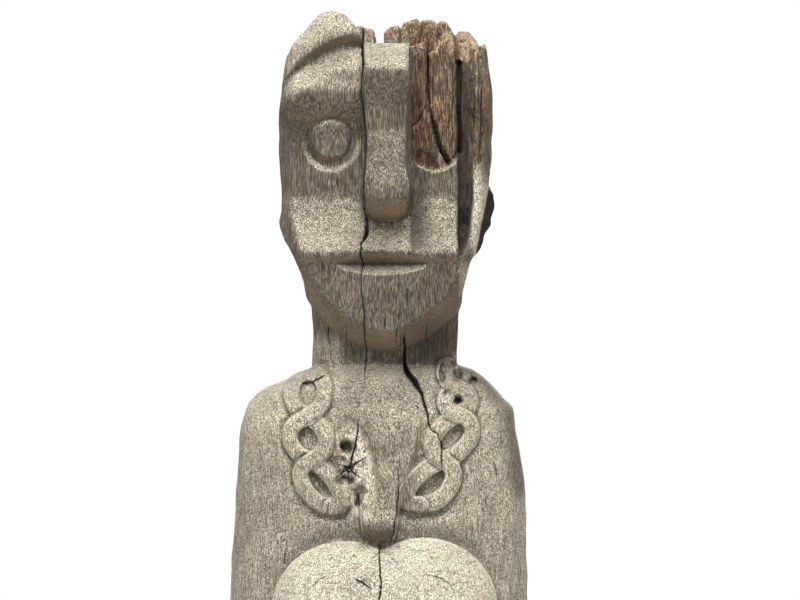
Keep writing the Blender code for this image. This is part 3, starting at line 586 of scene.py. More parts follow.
THIN_CRACKS = [
    [(18, 1095, 0), (17, 1060, 1.2), (15, 1024, 1.8), (8, 989, 0.6)],
    [(-22, 1122, 0), (-24, 1104, 1.8), (-28, 1086, 2.2), (-32, 1066, 2.6), (-46, 1069, 0)],
    [(-32, 1066, 2.6), (-20, 1075, 1.2), (-9, 1081, 0)],
    [(-32, 1066, 2.6), (-24, 1059, 1.2), (-13, 1052, 0)],
    [(-32, 1066, 2.6), (-35, 1054, 1.5), (-33, 1044, 0)],
    [(-32, 1066, 2.6), (-43, 1058, 1.3), (-50, 1056, 0)],
    [(-2, 990, 1.6), (-1, 949, 2.2), (-4, 934, 1.8), (-2, 880, 0)],
    [(-75, 1148, 0), (-66, 1153, 2.4), (-52, 1161, 0)],
    [(-30, 964, 0), (-20, 959, 2.6), (-5, 949, 0)],
    [(-25, 972, 0), (-8, 957, 0.9), (-3, 952, 0)],
    [(-38, 972, 0), (-62, 960, 1.1), (-84, 940, 0)],
    [(20, 973, 0), (58, 962, 1.1), (88, 935, 0)],
    [(-56, 1204, 1.6), (-54, 1166, 0)],
    [(15, 1206, 1.6), (14, 1166, 0)],
    [(45, 1206, 1.6), (46, 1166, 0)],
    [(67, 1206, 1.8), (66, 1170, 0)],
    [(-36, 1206, 1.0), (-37, 1172, 0)],
    [(122, 1110, 0), (121, 1090, 1.2), (123, 1068, 0)],
    [(-60, 1276, 0), (-59, 1268, 1.6), (-60, 1258, 0)],
    [(45, 1262, 0), (44, 1240, 1.0), (46, 1222, 0)],
    [(70, 1488, 0), (72, 1450, 1.5), (71, 1400, 0)],
    [(103, 1480, 0), (100, 1430, 1.8), (101, 1372, 0)],
    [(95, 1470, 0), (93, 1420, 1.4), (94, 1380, 0)],
]


def strayed(x, z):
    """x as a crack sees it, which strays to the side by a sum of two sines below the nose's tip."""
    return x + (0.6 * np.sin(z / 7.0) + 0.3 * np.sin(z / 2.6 + 1.0)) * smooth(1340.0, 1320.0, z)


def crack_depth(x, z):
    """How deep the two wide cracks are cut."""
    x = strayed(x, z)
    on_chest = np.where(z < 1210.0, cleft(x, z, CHEST_CRACK, 15.0), 0.0)
    return np.maximum(cleft(x, z, FACE_CRACK, 15.0), on_chest)


def crown_height(x, y):
    """The top of the head: a rounded lobe left of the nose, the nose block's flat top, broken slabs on the
    right, a slot that goes through from front to back, and a rotted hollow in the heart of the log. The
    pieces behind the slabs break off along a line that stands back by a step from one to the next."""
    lobe = [(-116, 1440), (-101, 1475), (-94, 1485), (-85, 1499), (-72, 1517), (-60, 1526), (-47, 1526),
            (-37, 1521)]
    front = lobe + [(-30, 1514), (-23, 1503), (-20, 1490), (29, 1490), (32, 1492), (41, 1496), (44, 1482),
                    (49, 1482), (58, 1493), (66, 1501), (73, 1493), (78, 1480), (82, 1477), (90, 1480),
                    (92, 1490), (98, 1495), (104, 1490), (110, 1473), (117, 1440)]
    rear = lobe + [(-30, 1523), (-25, 1526), (-11, 1522), (-8, 1519), (-6, 1489), (0, 1489), (2, 1518),
                   (7, 1525), (17, 1527), (19, 1514), (21, 1531), (37, 1534), (39, 1526), (41, 1533),
                   (54, 1531), (57, 1523), (59, 1532), (66, 1531), (71, 1524), (77, 1514), (80, 1521),
                   (91, 1520), (95, 1514), (99, 1509), (104, 1497), (110, 1475), (117, 1440)]
    stands_back = [(-8, 50), (18, 50), (20, 38), (38, 38), (40, 47), (56, 47), (58, 41), (75, 41), (84, 21)]
    height = np.interp(x, *np.array(front, float).T)
    behind = np.interp(x, *np.array(rear, float).T) - 9.0 * smooth(0.0, -46.0, y)
    break_line = -np.interp(x, *np.array(stands_back, float).T)
    height = height + (behind - height) * smooth(break_line - 9.0, break_line, y)
    hollow = 1.0 - smooth(0.55, 1.0, np.hypot((x - HEART_X) / 51.0, (y - HEART_Y) / 44.0))
    return height - 40.0 * hollow


def front_depth(d, x, z, plain, facing):
    """How far the carved front lies before the axis, without its cracks: the plain log or the mask,
    whichever is further forward, cut back where the wood has rotted, plus what stands on the chest."""
    face = mask_depth(d, x, z) + np.where(x < -20.0, eye(d, x, z), 0.0) + mouth(d, x, z)
    face = np.maximum(face, np.where((z > 1306.0) & (z < 1494.0), nose(d, x, z), -99.0))
    rotted = rot_edge(x, z)
    face = face + (rot_depth(x, z) - face) * rotted
    top_slope = smooth(1478.0, 1534.0, z) * smooth(84.0, 78.0, x) * smooth(25.0, 30.0, x)
    face = face - 6.0 * top_slope - side_gap(d, x, z)
    on_head = z > 1175.0
    beside_rot = rotted + smooth(70.0, 76.0, x) > 0.5
    log = np.where(on_head & beside_rot, np.minimum(plain, face + 14.0), plain)
    depth = np.where(on_head, np.maximum(log, face), plain)
    return depth + np.where(z < 1200.0, chest(d, x, z), 0.0) * smooth(0.1, 0.4, facing)


def carve(d, x, y, z, facing):
    """Moves the plain log's front to the carved depth, and cuts the cracks into it."""
    depth = front_depth(d, x, z, -y, facing)
    return np.where(facing > 0.0, -np.maximum(depth - crack_depth(x, z), -y * 0.35), y)


def wall_points(d, angles, rows):
    """The carved wall as grids of x, y and z over the angle round the axis and the row, from the base's
    top upwards. Rows on the head are shares of the way up to the crown, whose height at the log's outline
    is found by halving steps, since the outline narrows upwards."""
    cosine, sine = np.cos(angles)[None, :], np.sin(angles)[None, :]
    z = np.broadcast_to(rows[:, None], (len(rows), len(angles))).copy()
    top = np.full(len(angles), DRAWN_HEIGHT)
    for _ in range(CROWN_STEPS):
        edge = log_radius(d, cosine, sine, top[None, :])[0]
        top = 0.5 * (top + crown_height(edge * cosine[0], edge * sine[0]))
    share = (z - CROWN_START) / (DRAWN_HEIGHT - CROWN_START)
    z = np.where(share > 0.0, CROWN_START + share * (top[None, :] - CROWN_START), z)
    radius = log_radius(d, cosine, sine, z)
    from_front = (np.mod(angles + np.pi * 1.5, 2.0 * np.pi) - np.pi) * ARC_RADIUS
    radius = radius + arms(d, from_front[None, :], z) + waist(from_front[None, :], z)
    x, y = radius * cosine, radius * sine
    facing = np.broadcast_to(-sine, x.shape)
    return x, carve(d, x, y, z, facing), z


def body_grid(d, base_height, base_diameter, density):
    """Every vertex of the closed figure on a grid of rings and columns, from the middle of its underside
    to the middle of its crown, and the two middle points."""
    front_count, back_count = int(COLUMNS_FRONT * density), int(COLUMNS_BACK * density)
    front = np.pi + np.pi * np.arange(front_count) / front_count
    back = 2.0 * np.pi + np.pi * np.arange(back_count) / back_count
    angles = np.concatenate((front, back))
    cosine, sine = np.cos(angles), np.sin(angles)
    rows = np.concatenate((np.linspace(DRAWN_BASE, CHEST_START, int(ROWS_BODY * density), endpoint=False),
                           np.linspace(CHEST_START, HEAD_START, int(ROWS_CHEST * density), endpoint=False),
                           np.linspace(HEAD_START, DRAWN_HEIGHT, int(ROWS_HEAD * density))))
    x, y, z = wall_points(d, angles, rows)
    wall = np.stack((x * d.unit, y * d.unit, base_height + (z - DRAWN_BASE) * d.unit), axis=-1)
    rings = []
    for share, level in BASE_PROFILE:
        radius = base_diameter / 2.0 * share
        rings.append(np.stack((radius * cosine, radius * sine, np.full(len(angles), level * base_height)),
                              axis=-1))
    base_top = rings[-1]
    for share in np.linspace(0.0, 1.0, FOOT_RINGS + 2)[1:-1]:
        rings.append(base_top + (wall[0] - base_top) * share)
    middle = np.array([HEART_X * d.unit, HEART_Y * d.unit, 0.0])
    cap = []
    for share in np.linspace(0.0, 1.0, int(CAP_RINGS * density), endpoint=False)[1:]:
        ring = wall[-1] + (middle - wall[-1]) * share
        level = crown_height(ring[:, 0] / d.unit, ring[:, 1] / d.unit)
        ring[:, 2] = base_height + (level - DRAWN_BASE) * d.unit
        cap.append(ring)
    middle[2] = base_height + (crown_height(HEART_X, HEART_Y) - DRAWN_BASE) * d.unit
    return np.concatenate((np.stack(rings), wall, np.stack(cap))), np.array([[0.0, 0.0, 0.0], middle])


def closed_mesh(name, grid, poles):
    """A mesh of quads between neighbouring rings and columns, closed by a fan of triangles at each pole."""
    rings, columns, _ = grid.shape
    index = np.arange(rings * columns).reshape(rings, columns)
    after = np.roll(index, -1, axis=1)
    quads = np.stack((index[:-1], after[:-1], after[1:], index[1:]), axis=-1).reshape(-1, 4)
    bottom, top = rings * columns, rings * columns + 1
    under = np.stack((after[0], index[0], np.full(columns, bottom)), axis=-1)
    over = np.stack((index[-1], after[-1], np.full(columns, top)), axis=-1)
    mesh = bpy.data.meshes.new(name)
    mesh.from_pydata(np.concatenate((grid.reshape(-1, 3), poles)), [],
                     quads.tolist() + under.tolist() + over.tolist())
    return mesh


# Weathering, and painted light and shade, on the vertices of the finished form


def read_all(items, name, width, kind=np.float32):
    """One attribute of every item, as rows."""
    flat = np.empty(len(items) * width, kind)
    items.foreach_get(name, flat)
    return flat.reshape(-1, width)


def positions(mesh):
    return read_all(mesh.vertices, "co", 3).astype(float)


def vertex_normals(mesh):
    return read_all(mesh.vertex_normals, "vector", 3).astype(float)


def neighbour_mean(values, ends):
    """The mean of each vertex's neighbours along edges."""
    count = np.maximum(np.bincount(ends.ravel(), minlength=len(values)), 1)
    if values.ndim == 1:
        total = np.bincount(ends[:, 0], values[ends[:, 1]], len(values))
        return (total + np.bincount(ends[:, 1], values[ends[:, 0]], len(values))) / count
    return np.stack([neighbour_mean(values[:, i], ends) for i in range(values.shape[1])], axis=1)


def drawn_points(d, base_height, points):
    """Points in metres, as points on the drawn figure."""
    drawn = points / d.unit
    drawn[:, 2] = (points[:, 2] - base_height) / d.unit + DRAWN_BASE
    return drawn


def rot_mask(d, p):
    """Where the wood has rotted brown: the eye hollow and what stands over it, the crown's broken back,
    and the temple beside the cheek."""
    x, y, z = p.T
    front = smooth(0.0, -30.0, y)
    hollow = rot_edge(x, z) * front
    crown = smooth(1496.0, 1512.0, z) * smooth(-34.0, -28.0, x) * 0.8
    temple = np.clip(side_gap(d, x, z) / 20.0, 0.0, 1.0) * smooth(20.0, -25.0, y) * 0.85
    return np.clip(np.maximum.reduce((hollow, crown, temple)), 0.0, 1.0)


def crumbled(d, p):
    """Where the surface has crumbled, whatever its colour: the rot, and the patch round the knot."""
    x, y, z = p.T
    patch = 0.9 * crumbs(p)
    wear_and_painted_light = 0.45 * (1.0 - smooth(18.0, 34.0, np.hypot(x - 74.0, z - 1152.0))) * smooth(0.0, -30.0, y)
    edge = 1.0 - 0.5 * smooth(1488.0, 1500.0, z) - 0.45 * smooth(1470.0, 1486.0, z) * smooth(80.0, 86.0, x)
    return np.maximum.reduce((rot_mask(d, p) * edge, patch, wear_and_painted_light))


def bleaching_and_painted_light(d, p):
    """How pale the wood is: sun and rain have paled it hardly on the head, more on the torso and most on the
    lobes, and painted light makes the left of the neck, the forehead, the lower face, the eye's disc, the lit
    ledge below it, the right of the torso and the right lobe paler, as light falls on them.
    lobes."""
    x, y, z = p.T
    front = smooth(-50.0, -90.0, y)
    lobe = smooth(0.5, 5.0, lobes(d, x, z))
    neck = 0.6 * smooth(-36.0, -46.0, x) * smooth(1205.0, 1185.0, z)
    forehead = 0.24 * smooth(-14.0, -24.0, x) * smooth(1436.0, 1452.0, z) * front
    jaw = 0.7 * jaw_ridge(d, x, z) * smooth(76.0, 79.0, x) * smooth(-14.0, -8.0, mask_edge(d, x, z)) * front
    torso = (0.42 + 0.26 * smooth(-60.0, 60.0, x)) * smooth(1175.0, 1120.0, z)
    torso = torso - 0.40 * smooth(44.0, 34.0, np.abs(x - PANEL_CENTRE)) * smooth(1010.0, 1040.0, z)
    torso = torso - 0.14 * smooth(1100.0, 1050.0, z) * smooth(-40.0, -80.0, x)
    chin = 0.05 * smooth(1268.0, 1255.0, z) * smooth(1160.0, 1175.0, z) * smooth(50.0, 20.0, x)
    disc = 0.16 * (1.0 - smooth(14.0, 19.0, eye_distance(x, z))) * front
    eye_away = eye_distance(x, z) - d.eye_diameter / 2.0
    ledge = 0.6 * smooth(3.4, 1.6, np.abs(eye_away - 3.2)) * smooth(6.0, -8.0, z - EYE_LEVEL) * front
    wear_and_painted_light = np.maximum.reduce((torso, neck, forehead, jaw, chin, disc, ledge))
    return np.clip(wear_and_painted_light + (0.5 + 0.1 * smooth(-10.0, 20.0, x)) * lobe * front, 0.0, 1.1)


def stain(d, p):
    """Darker wood: the rubbed edge of the right shoulder; painted shade on the panel's tip, below the chin,
    in the gap beside the cheek and just above the lobes; the nose's painted shadow right of its tip; and
    darker wood on the top of the shoulders and low on the left."""
    x, y, z = p.T
    shoulder_line = [(92, 1164), (113, 1146), (129, 1124), (137, 1090), (143, 1040)]
    shoulder = 1.0 - smooth(2.0, 18.0, line_distance(x, z, shoulder_line))
    tip = smooth(24.0, 17.0, np.abs(x - PANEL_CENTRE)) * smooth(1018.0, 1006.0, z) * smooth(986.0, 990.0, z)
    neck = smooth(0.0, 40.0, x) * window(z, 1160.0, 1170.0, 1205.0, 1230.0)
    gap = window(x, 73.0, 77.0, 86.0, 94.0) * window(z, 1262.0, 1280.0, 1462.0, 1490.0)
    nose_side = window(x, 26.0, 30.0, 34.0, 60.0) * window(z, 1276.0, 1290.0, 1334.0, 1352.0)
    top = window(z, 1116.0, 1134.0, 1166.0, 1176.0) * smooth(50.0, 80.0, np.abs(x))
    low_left = 0.16 * smooth(1120.0, 1050.0, z) * smooth(-50.0, -110.0, x)
    wear_and_painted_light = np.maximum.reduce((0.75 * shoulder, 0.6 * tip, 0.5 * neck, gap, nose_side, 0.16 * top, low_left))
    away = np.minimum.reduce(lobe_sides(d, x, z))
    above = 0.5 * smooth(20.0, 2.0, away) * smooth(-0.5, 0.5, away) * smooth(940.0, 965.0, z)
    return np.maximum(wear_and_painted_light, above) * smooth(0.0, -30.0, y)


def soot(p):
    """The charred stump of the right ear."""
    x, y, z = p.T
    beside = smooth(-3.0, 2.0, x - 98.0 - 0.22 * (z - 1298.0)) * smooth(34.0, 0.0, y)
    return beside * window(z, 1266.0, 1280.0, 1350.0, 1360.0)


def redness(p):
    """The reddest rot: the two lower slabs in the rotted eye."""
    x, y, z = p.T
    wedge = smooth(0.0, 3.0, 47.0 + 0.22 * (1419.0 - z) - x) * smooth(1430.0, 1420.0, z)
    return rot_edge(x, z) * np.maximum(smooth(47.0, 44.0, x), wedge)


def crumbs(p):
    """The pale, worm-eaten wood round the knot."""
    x, y, z = p.T
    return knot_patch(x, z) * smooth(-40.0, -60.0, y)


def pit_mask(p):
    """How deep a point lies in the knot's hole and the other pits, from 0 to 1; the material paints the pits
    darker with it, as shade.
    """
    x, y, z = p.T
    return np.clip(np.where(z < 1200.0, knot_pits(x, z), 0.0) / 32.0, 0.0, 1.0) * smooth(-10.0, -40.0, y)


def band_side(d, x, z, crossings, swing):
    """The distance to the nearest edge that shows of a chain's bands, negative on a band."""
    half = d.chain_strand / 2.0
    top, under, _, _ = bands(x, z, crossings, swing)
    on_under = np.where(top - half < half - under, top - half, under - half)
    return np.where(top < half, top - half, np.where(under < half, on_under, np.minimum(top, under) - half))


def edge_side(d, p):
    """The distance to the nearest carved edge on the chest, negative on the raised side. Below the chains
    only the lobes count."""
    x, y, z = p.T
    fields = lobe_sides(d, x, z)
    panel = np.abs(x - PANEL_CENTRE) - curve(PANEL_HALF, z)
    fields.append(np.where((z > 986.0) & (z < 1040.0), panel, FAR))
    for sign, crossings, swing in ((1.0, LEFT_CROSSINGS, LEFT_SWING), (-1.0, RIGHT_CROSSINGS, RIGHT_SWING)):
        on_chain = (z > crossings[0][0] - 9.0) & (z < crossings[-1][0] + 4.0) & (knot_patch(x, z) < 0.5)
        fields.append(np.where(on_chain, band_side(d, sign * x, z, crossings, swing), FAR))
    nearest = np.full(len(p), FAR)
    for field in fields:
        nearest = np.where(np.abs(field) < np.abs(nearest), field, nearest)
    nearest = np.where(z < 975.0, np.minimum(fields[0], fields[1]), nearest)
    return np.where(y < -40.0, nearest, FAR)


def checks(p):
    """Drying checks: the zero line of a noise over the angle and the height, so that each is a wandering
    radial cleft, kept where a second noise is high."""
    angle = np.arctan2(p[:, 1], p[:, 0]) / (2.0 * np.pi) * LATTICE
    radius = np.hypot(p[:, 0], p[:, 1])
    polar = np.stack((angle, radius / 400.0, p[:, 2] / 210.0), axis=1)
    line = np.abs(grain(polar, (1.0, 1.0, 1.0), 11)) * np.maximum(radius, 30.0) * 0.22
    open_part = smooth(0.05, 0.45, grain(p, (70.0, 70.0, 240.0), 12))
    away_from_face = np.maximum(smooth(-40.0, 10.0, p[:, 1]), smooth(860.0, 800.0, p[:, 2]))
    return (1.0 - smooth(0.4, 1.7, line)) * open_part * away_from_face


def weather(d, base_height, mesh):
    """Moves each vertex along its normal by the wood's relief: adze marks, fibres, rot and checks."""
    points, normals = positions(mesh), vertex_normals(mesh)
    p = drawn_points(d, base_height, points)
    rot = crumbled(d, p)
    fibres = 0.6 * grain(p, (4.6, 4.6, 64.0), 1) + 0.4 * grain(p, (2.9, 2.9, 30.0), 2)
    marks = grain(p, (26.0, 26.0, 21.0), 3)
    splinters = 0.60 * grain(p, (6.0, 6.0, 60.0), 4) + 0.45 * grain(p, (2.8, 2.8, 26.0), 5)
    lumps = 0.7 * grain(p, (7.0, 7.0, 6.0), 7) + 0.5 * grain(p, (3.6, 3.6, 4.4), 8)
    front = p[:, 2] < 1180.0
    splinters = np.where(front, lumps, splinters)
    broad = grain(p, (60.0, 60.0, 90.0), 6)
    move = d.fibre_relief * fibres + d.tool_relief * marks + 0.6 * broad
    move = move + rot * d.rot_relief * (splinters - 0.25) - d.check_depth * checks(p)
    resting = smooth(6.0, 18.0, p[:, 2])
    points = points + normals * (move * resting * d.unit)[:, None]
    mesh.vertices.foreach_set("co", points.astype(np.float32).ravel())
    mesh.update()


def spare_weights(d, base_height, mesh):
    """How freely each vertex may be merged away: most on the plain base, least on the face and the chest."""
    x, y, z = drawn_points(d, base_height, positions(mesh)).T
    front = smooth(20.0, -40.0, y)
    return 1.0 - 0.25 * smooth(860.0, 930.0, z) - 0.65 * smooth(900.0, 940.0, z) * front


def add_masks(d, base_height, mesh):
    """Stores on each vertex what the wood's material reads: rot, stains mixed with painted shade, paleness
    mixed with painted light, hollows that it darkens as painted shade and ridges that it lightens, and the
    distances to cracks and to carved edges, along which it paints cracks and highlight and shadow lines. A
    hollow is where the neighbours' mean, taken several times over, lies outside the surface."""
    points, normals = positions(mesh), vertex_normals(mesh)
    ends = read_all(mesh.edges, "vertices", 2, np.int32)
    p = drawn_points(d, base_height, points)
    mean = points
    for _ in range(HOLLOW_STEPS):
        mean = 0.5 * mean + 0.5 * neighbour_mean(mean, ends)
    bend = np.einsum("ij,ij->i", mean - points, normals) / d.unit
    bend = 0.5 * bend + 0.5 * neighbour_mean(bend, ends)
    x, y, z = p.T
    gaps = [[(at_x, at_z, 0.5 * width) for at_x, at_z, width in gap] for gap in SLAB_GAPS]
    side, half = crack_side(strayed(x, z), z, [FACE_CRACK, CHEST_CRACK] + gaps + THIN_CRACKS)
    edge = edge_side(d, p)
    beside_nose = smooth(28.0, 25.0, np.abs(x - NOSE_CENTRE))
    masks = {
        "rot": rot_mask(d, p),
        "red": redness(p),
        # Where pits and checks are painted near-black as shade.
        "crack": np.maximum(pit_mask(p), 0.9 * checks(p)),
        "crack_side": np.clip(side, -8.0, 8.0),
        "crack_half": half,
        "crack_near": smooth(6.5, 5.0, np.abs(side)) * smooth(-10.0, -40.0, y),
        "edge_side": np.clip(edge, -6.0, 6.0),
        "edge_near": smooth(4.5, 3.0, np.abs(edge)),
        # Hollows, which the material darkens as painted shade, and ridges, which it lightens.
        "hollow": smooth(0.1, 1.1, bend),
        "ridge": smooth(0.1, 1.1, -bend),
        # Paleness from the weather, mixed with painted light.
        "bleach": bleaching_and_painted_light(d, p),
        "soot": soot(p),
        # Dark stains mixed with painted shade and the nose's painted shadow.
        "stain": stain(d, p),
        "crumb": crumbs(p),
        "streak": beside_nose * window(z, 1312.0, 1320.0, 1400.0, 1424.0),
    }
    for name, values in masks.items():
        attribute = mesh.attributes.new(name, "FLOAT", "POINT")
        attribute.data.foreach_set("value", values.astype(np.float32))


def evaluated_copy(piece):
    depsgraph = bpy.context.evaluated_depsgraph_get()
    return bpy.data.meshes.new_from_object(piece.evaluated_get(depsgraph), depsgraph=depsgraph)


# Materials


class Nodes:
    """Adds and links nodes of one tree. An input may be given a value, a colour or another node's output."""

    def __init__(self, tree):
        self.tree = tree

    def give(self, socket, value):
        if isinstance(value, bpy.types.NodeSocket):
            self.tree.links.new(value, socket)
        else:
            socket.default_value = value

    def add(self, kind, inputs=None, **settings):
        node = self.tree.nodes.new(kind)
        for name, value in settings.items():
            setattr(node, name, value)
        for key, value in (inputs or {}).items():
            self.give(node.inputs[key], value)
        return node

    def math(self, operation, *values, clamp=False):
        node = self.add("ShaderNodeMath", dict(enumerate(values)), operation=operation, use_clamp=clamp)
        return node.outputs[0]

    def times(self, first, second):
        return self.math("MULTIPLY", first, second)

    def plus(self, first, second):
        return self.math("ADD", first, second)

    def minus(self, first, second):
        return self.math("SUBTRACT", first, second)

    def step(self, value, low, high, to_low=0.0, to_high=1.0):
        """A smooth step of a value from one range to another."""
        inputs = {"Value": value, "From Min": low, "From Max": high, "To Min": to_low, "To Max": to_high}
        return self.add("ShaderNodeMapRange", inputs, interpolation_type="SMOOTHSTEP").outputs["Result"]

    def mix(self, share, first, second, blend="MIX"):
        node = self.add("ShaderNodeMix", data_type="RGBA", blend_type=blend)
        sockets = {socket.identifier: socket for socket in node.inputs}
        for key, value in (("Factor_Float", share), ("A_Color", first), ("B_Color", second)):
            self.give(sockets[key], (*value, 1.0) if isinstance(value, tuple) else value)
        return next(socket for socket in node.outputs if socket.identifier == "Result_Color")

    def coats(self, base, *layers):
        """Colours laid over a base in turn, each as (share, strength, colour)."""
        for share, strength, tint in layers:
            base = self.mix(self.times(share, strength), base, tint)
        return base

    def noise(self, vector, scale, detail=3.0, roughness=0.6, distortion=0.0):
        place = self.add("ShaderNodeMapping", {"Vector": vector, "Scale": scale}).outputs["Vector"]
        inputs = {"Vector": place, "Scale": 1.0, "Detail": detail, "Roughness": roughness,
                  "Distortion": distortion}
        return self.add("ShaderNodeTexNoise", inputs).outputs["Fac"]

    def mask(self, name):
        return self.add("ShaderNodeAttribute", attribute_name=name).outputs["Fac"]


def group(name, *outputs):
    """A shader node group that reads a place and gives named numbers: its nodes, the place, its outputs."""
    tree = bpy.data.node_groups.new(name, "ShaderNodeTree")
    tree.interface.new_socket("Place", in_out="INPUT", socket_type="NodeSocketVector")
    for socket in outputs:
        tree.interface.new_socket(socket, in_out="OUTPUT", socket_type="NodeSocketFloat")
    nodes = Nodes(tree)
    return nodes, nodes.add("NodeGroupInput").outputs["Place"], nodes.add("NodeGroupOutput").inputs


def wood_fibre_group():
    """Long fibres up the log as streaks, their ends as stipple, and dark pores."""
    nodes, place, out = group("wood_fibre", "Fibre", "Stipple", "Pores")
    coarse = nodes.noise(place, (330.0, 330.0, 16.0), 2.0, 0.6)
    fine = nodes.noise(place, (980.0, 980.0, 70.0), 1.0, 0.5)
    both = nodes.plus(nodes.times(coarse, 0.28), nodes.times(fine, 0.72))
    ends = nodes.noise(place, (1080.0, 1080.0, 560.0), 1.0, 0.5)
    pores = nodes.noise(place, (1000.0, 1000.0, 300.0), 1.0, 0.5)
    nodes.give(out["Fibre"], nodes.step(both, 0.34, 0.66))
    nodes.give(out["Stipple"], nodes.step(ends, 0.40, 0.60))
    nodes.give(out["Pores"], nodes.step(pores, 0.43, 0.32))
    return nodes.tree


def growth_ring_group():
    """Growth rings round the log's axis, which show as contour lines where the carving cuts across them."""
    nodes, place, out = group("growth_rings", "Rings")
    warp = nodes.noise(place, (14.0, 14.0, 3.0), 2.0, 0.5)
    split = nodes.add("ShaderNodeSeparateXYZ", {"Vector": place}).outputs
    squares = nodes.plus(nodes.times(split["X"], split["X"]), nodes.times(split["Y"], split["Y"]))
    radius = nodes.plus(nodes.math("SQRT", squares), nodes.times(warp, 0.02))
    wave = nodes.math("SINE", nodes.times(radius, 2.0 * math.pi / RING_SPACING))
    nodes.give(out["Rings"], nodes.math("MULTIPLY_ADD", wave, 0.5, 0.5))
    return nodes.tree


def drying_check_group():
    """Fine dark clefts along the grain: the peaks of a stretched noise, kept in patches."""
    nodes, place, out = group("drying_checks", "Checks")
    line = nodes.noise(place, (330.0, 330.0, 22.0), 1.0, 0.5)
    patches = nodes.step(nodes.noise(place, (16.0, 16.0, 6.0), 1.0), 0.44, 0.62)
    nodes.give(out["Checks"], nodes.times(nodes.step(line, 0.70, 0.76), patches))
    return nodes.tree


def crackle_group():
    """Fine dark lines between the cells of a warped Voronoi pattern, and worm tracks where a bent noise is
    near its middle value."""
    nodes, place, out = group("crackle", "Fine", "Worms")
    bend = nodes.add("ShaderNodeTexNoise", {"Vector": place, "Scale": 120.0, "Detail": 2.0}).outputs["Color"]
    shift = nodes.add("ShaderNodeVectorMath", {0: bend, 1: (0.5, 0.5, 0.5)}, operation="SUBTRACT").outputs[0]
    far = nodes.add("ShaderNodeVectorMath", {0: shift, "Scale": 0.008}, operation="SCALE").outputs[0]
    moved = nodes.add("ShaderNodeVectorMath", {0: place, 1: far}, operation="ADD").outputs[0]
    cells = nodes.add("ShaderNodeMapping", {"Vector": moved, "Scale": (105.0, 105.0, 190.0)})
    edge = nodes.add("ShaderNodeTexVoronoi", {"Vector": cells.outputs["Vector"], "Scale": 1.0},
                     feature="DISTANCE_TO_EDGE")
    worms = nodes.noise(place, (230.0, 230.0, 110.0), 1.0, 0.5, 1.6)
    nodes.give(out["Fine"], nodes.step(edge.outputs["Distance"], 0.07, 0.0))
    nodes.give(out["Worms"], nodes.step(nodes.math("ABSOLUTE", nodes.minus(worms, 0.5)), 0.075, 0.02))
    return nodes.tree


def carved_line_group():
    """Cracks, drawn where the distance to a crack's middle line, made ragged by a noise, is below its
    half-width, and, in patches, a pale line of painted highlight along the raised side of carved edges and a
    dark line of painted shadow along their lower side."""
    nodes, place, out = group("carved_lines", "Crack", "Light edge", "Dark edge")
    ragged = nodes.minus(nodes.noise(place, (260.0, 260.0, 190.0), 3.0, 0.6), 0.5)
    side = nodes.plus(nodes.mask("crack_side"), nodes.times(ragged, 2.2))
    half = nodes.mask("crack_half")
    beyond = nodes.minus(nodes.math("ABSOLUTE", side), half)
    crack = nodes.times(nodes.step(beyond, 0.35, -0.45), nodes.mask("crack_near"))
    edge = nodes.plus(nodes.mask("edge_side"), nodes.times(ragged, 1.6))
    # Patches where the painted highlight and shadow lines show.
    wear_and_painted_light = nodes.step(nodes.noise(place, (60.0, 60.0, 60.0), 2.0), 0.36, 0.60)
    near = nodes.times(nodes.mask("edge_near"), wear_and_painted_light)
    inside = nodes.times(nodes.step(edge, -2.4, -1.2), nodes.step(edge, 0.2, -0.6))
    outside = nodes.times(nodes.step(edge, -0.4, 0.5), nodes.step(edge, 2.6, 1.2))
    nodes.give(out["Crack"], nodes.times(crack, nodes.step(half, 0.05, 0.45)))
    nodes.give(out["Light edge"], nodes.times(inside, near))
    nodes.give(out["Dark edge"], nodes.times(outside, near))
    return nodes.tree


def place_group(nodes, tree, place):
    node = nodes.add("ShaderNodeGroup", node_tree=tree)
    nodes.give(node.inputs["Place"], place)
    return node.outputs


def new_material(name):
    """A material with its nodes, its shader and the place on the object."""
    material = bpy.data.materials.new(name)
    material.use_nodes = True
    nodes = Nodes(material.node_tree)
    place = nodes.add("ShaderNodeTexCoord").outputs["Object"]
    return material, nodes, material.node_tree.nodes["Principled BSDF"].inputs, place


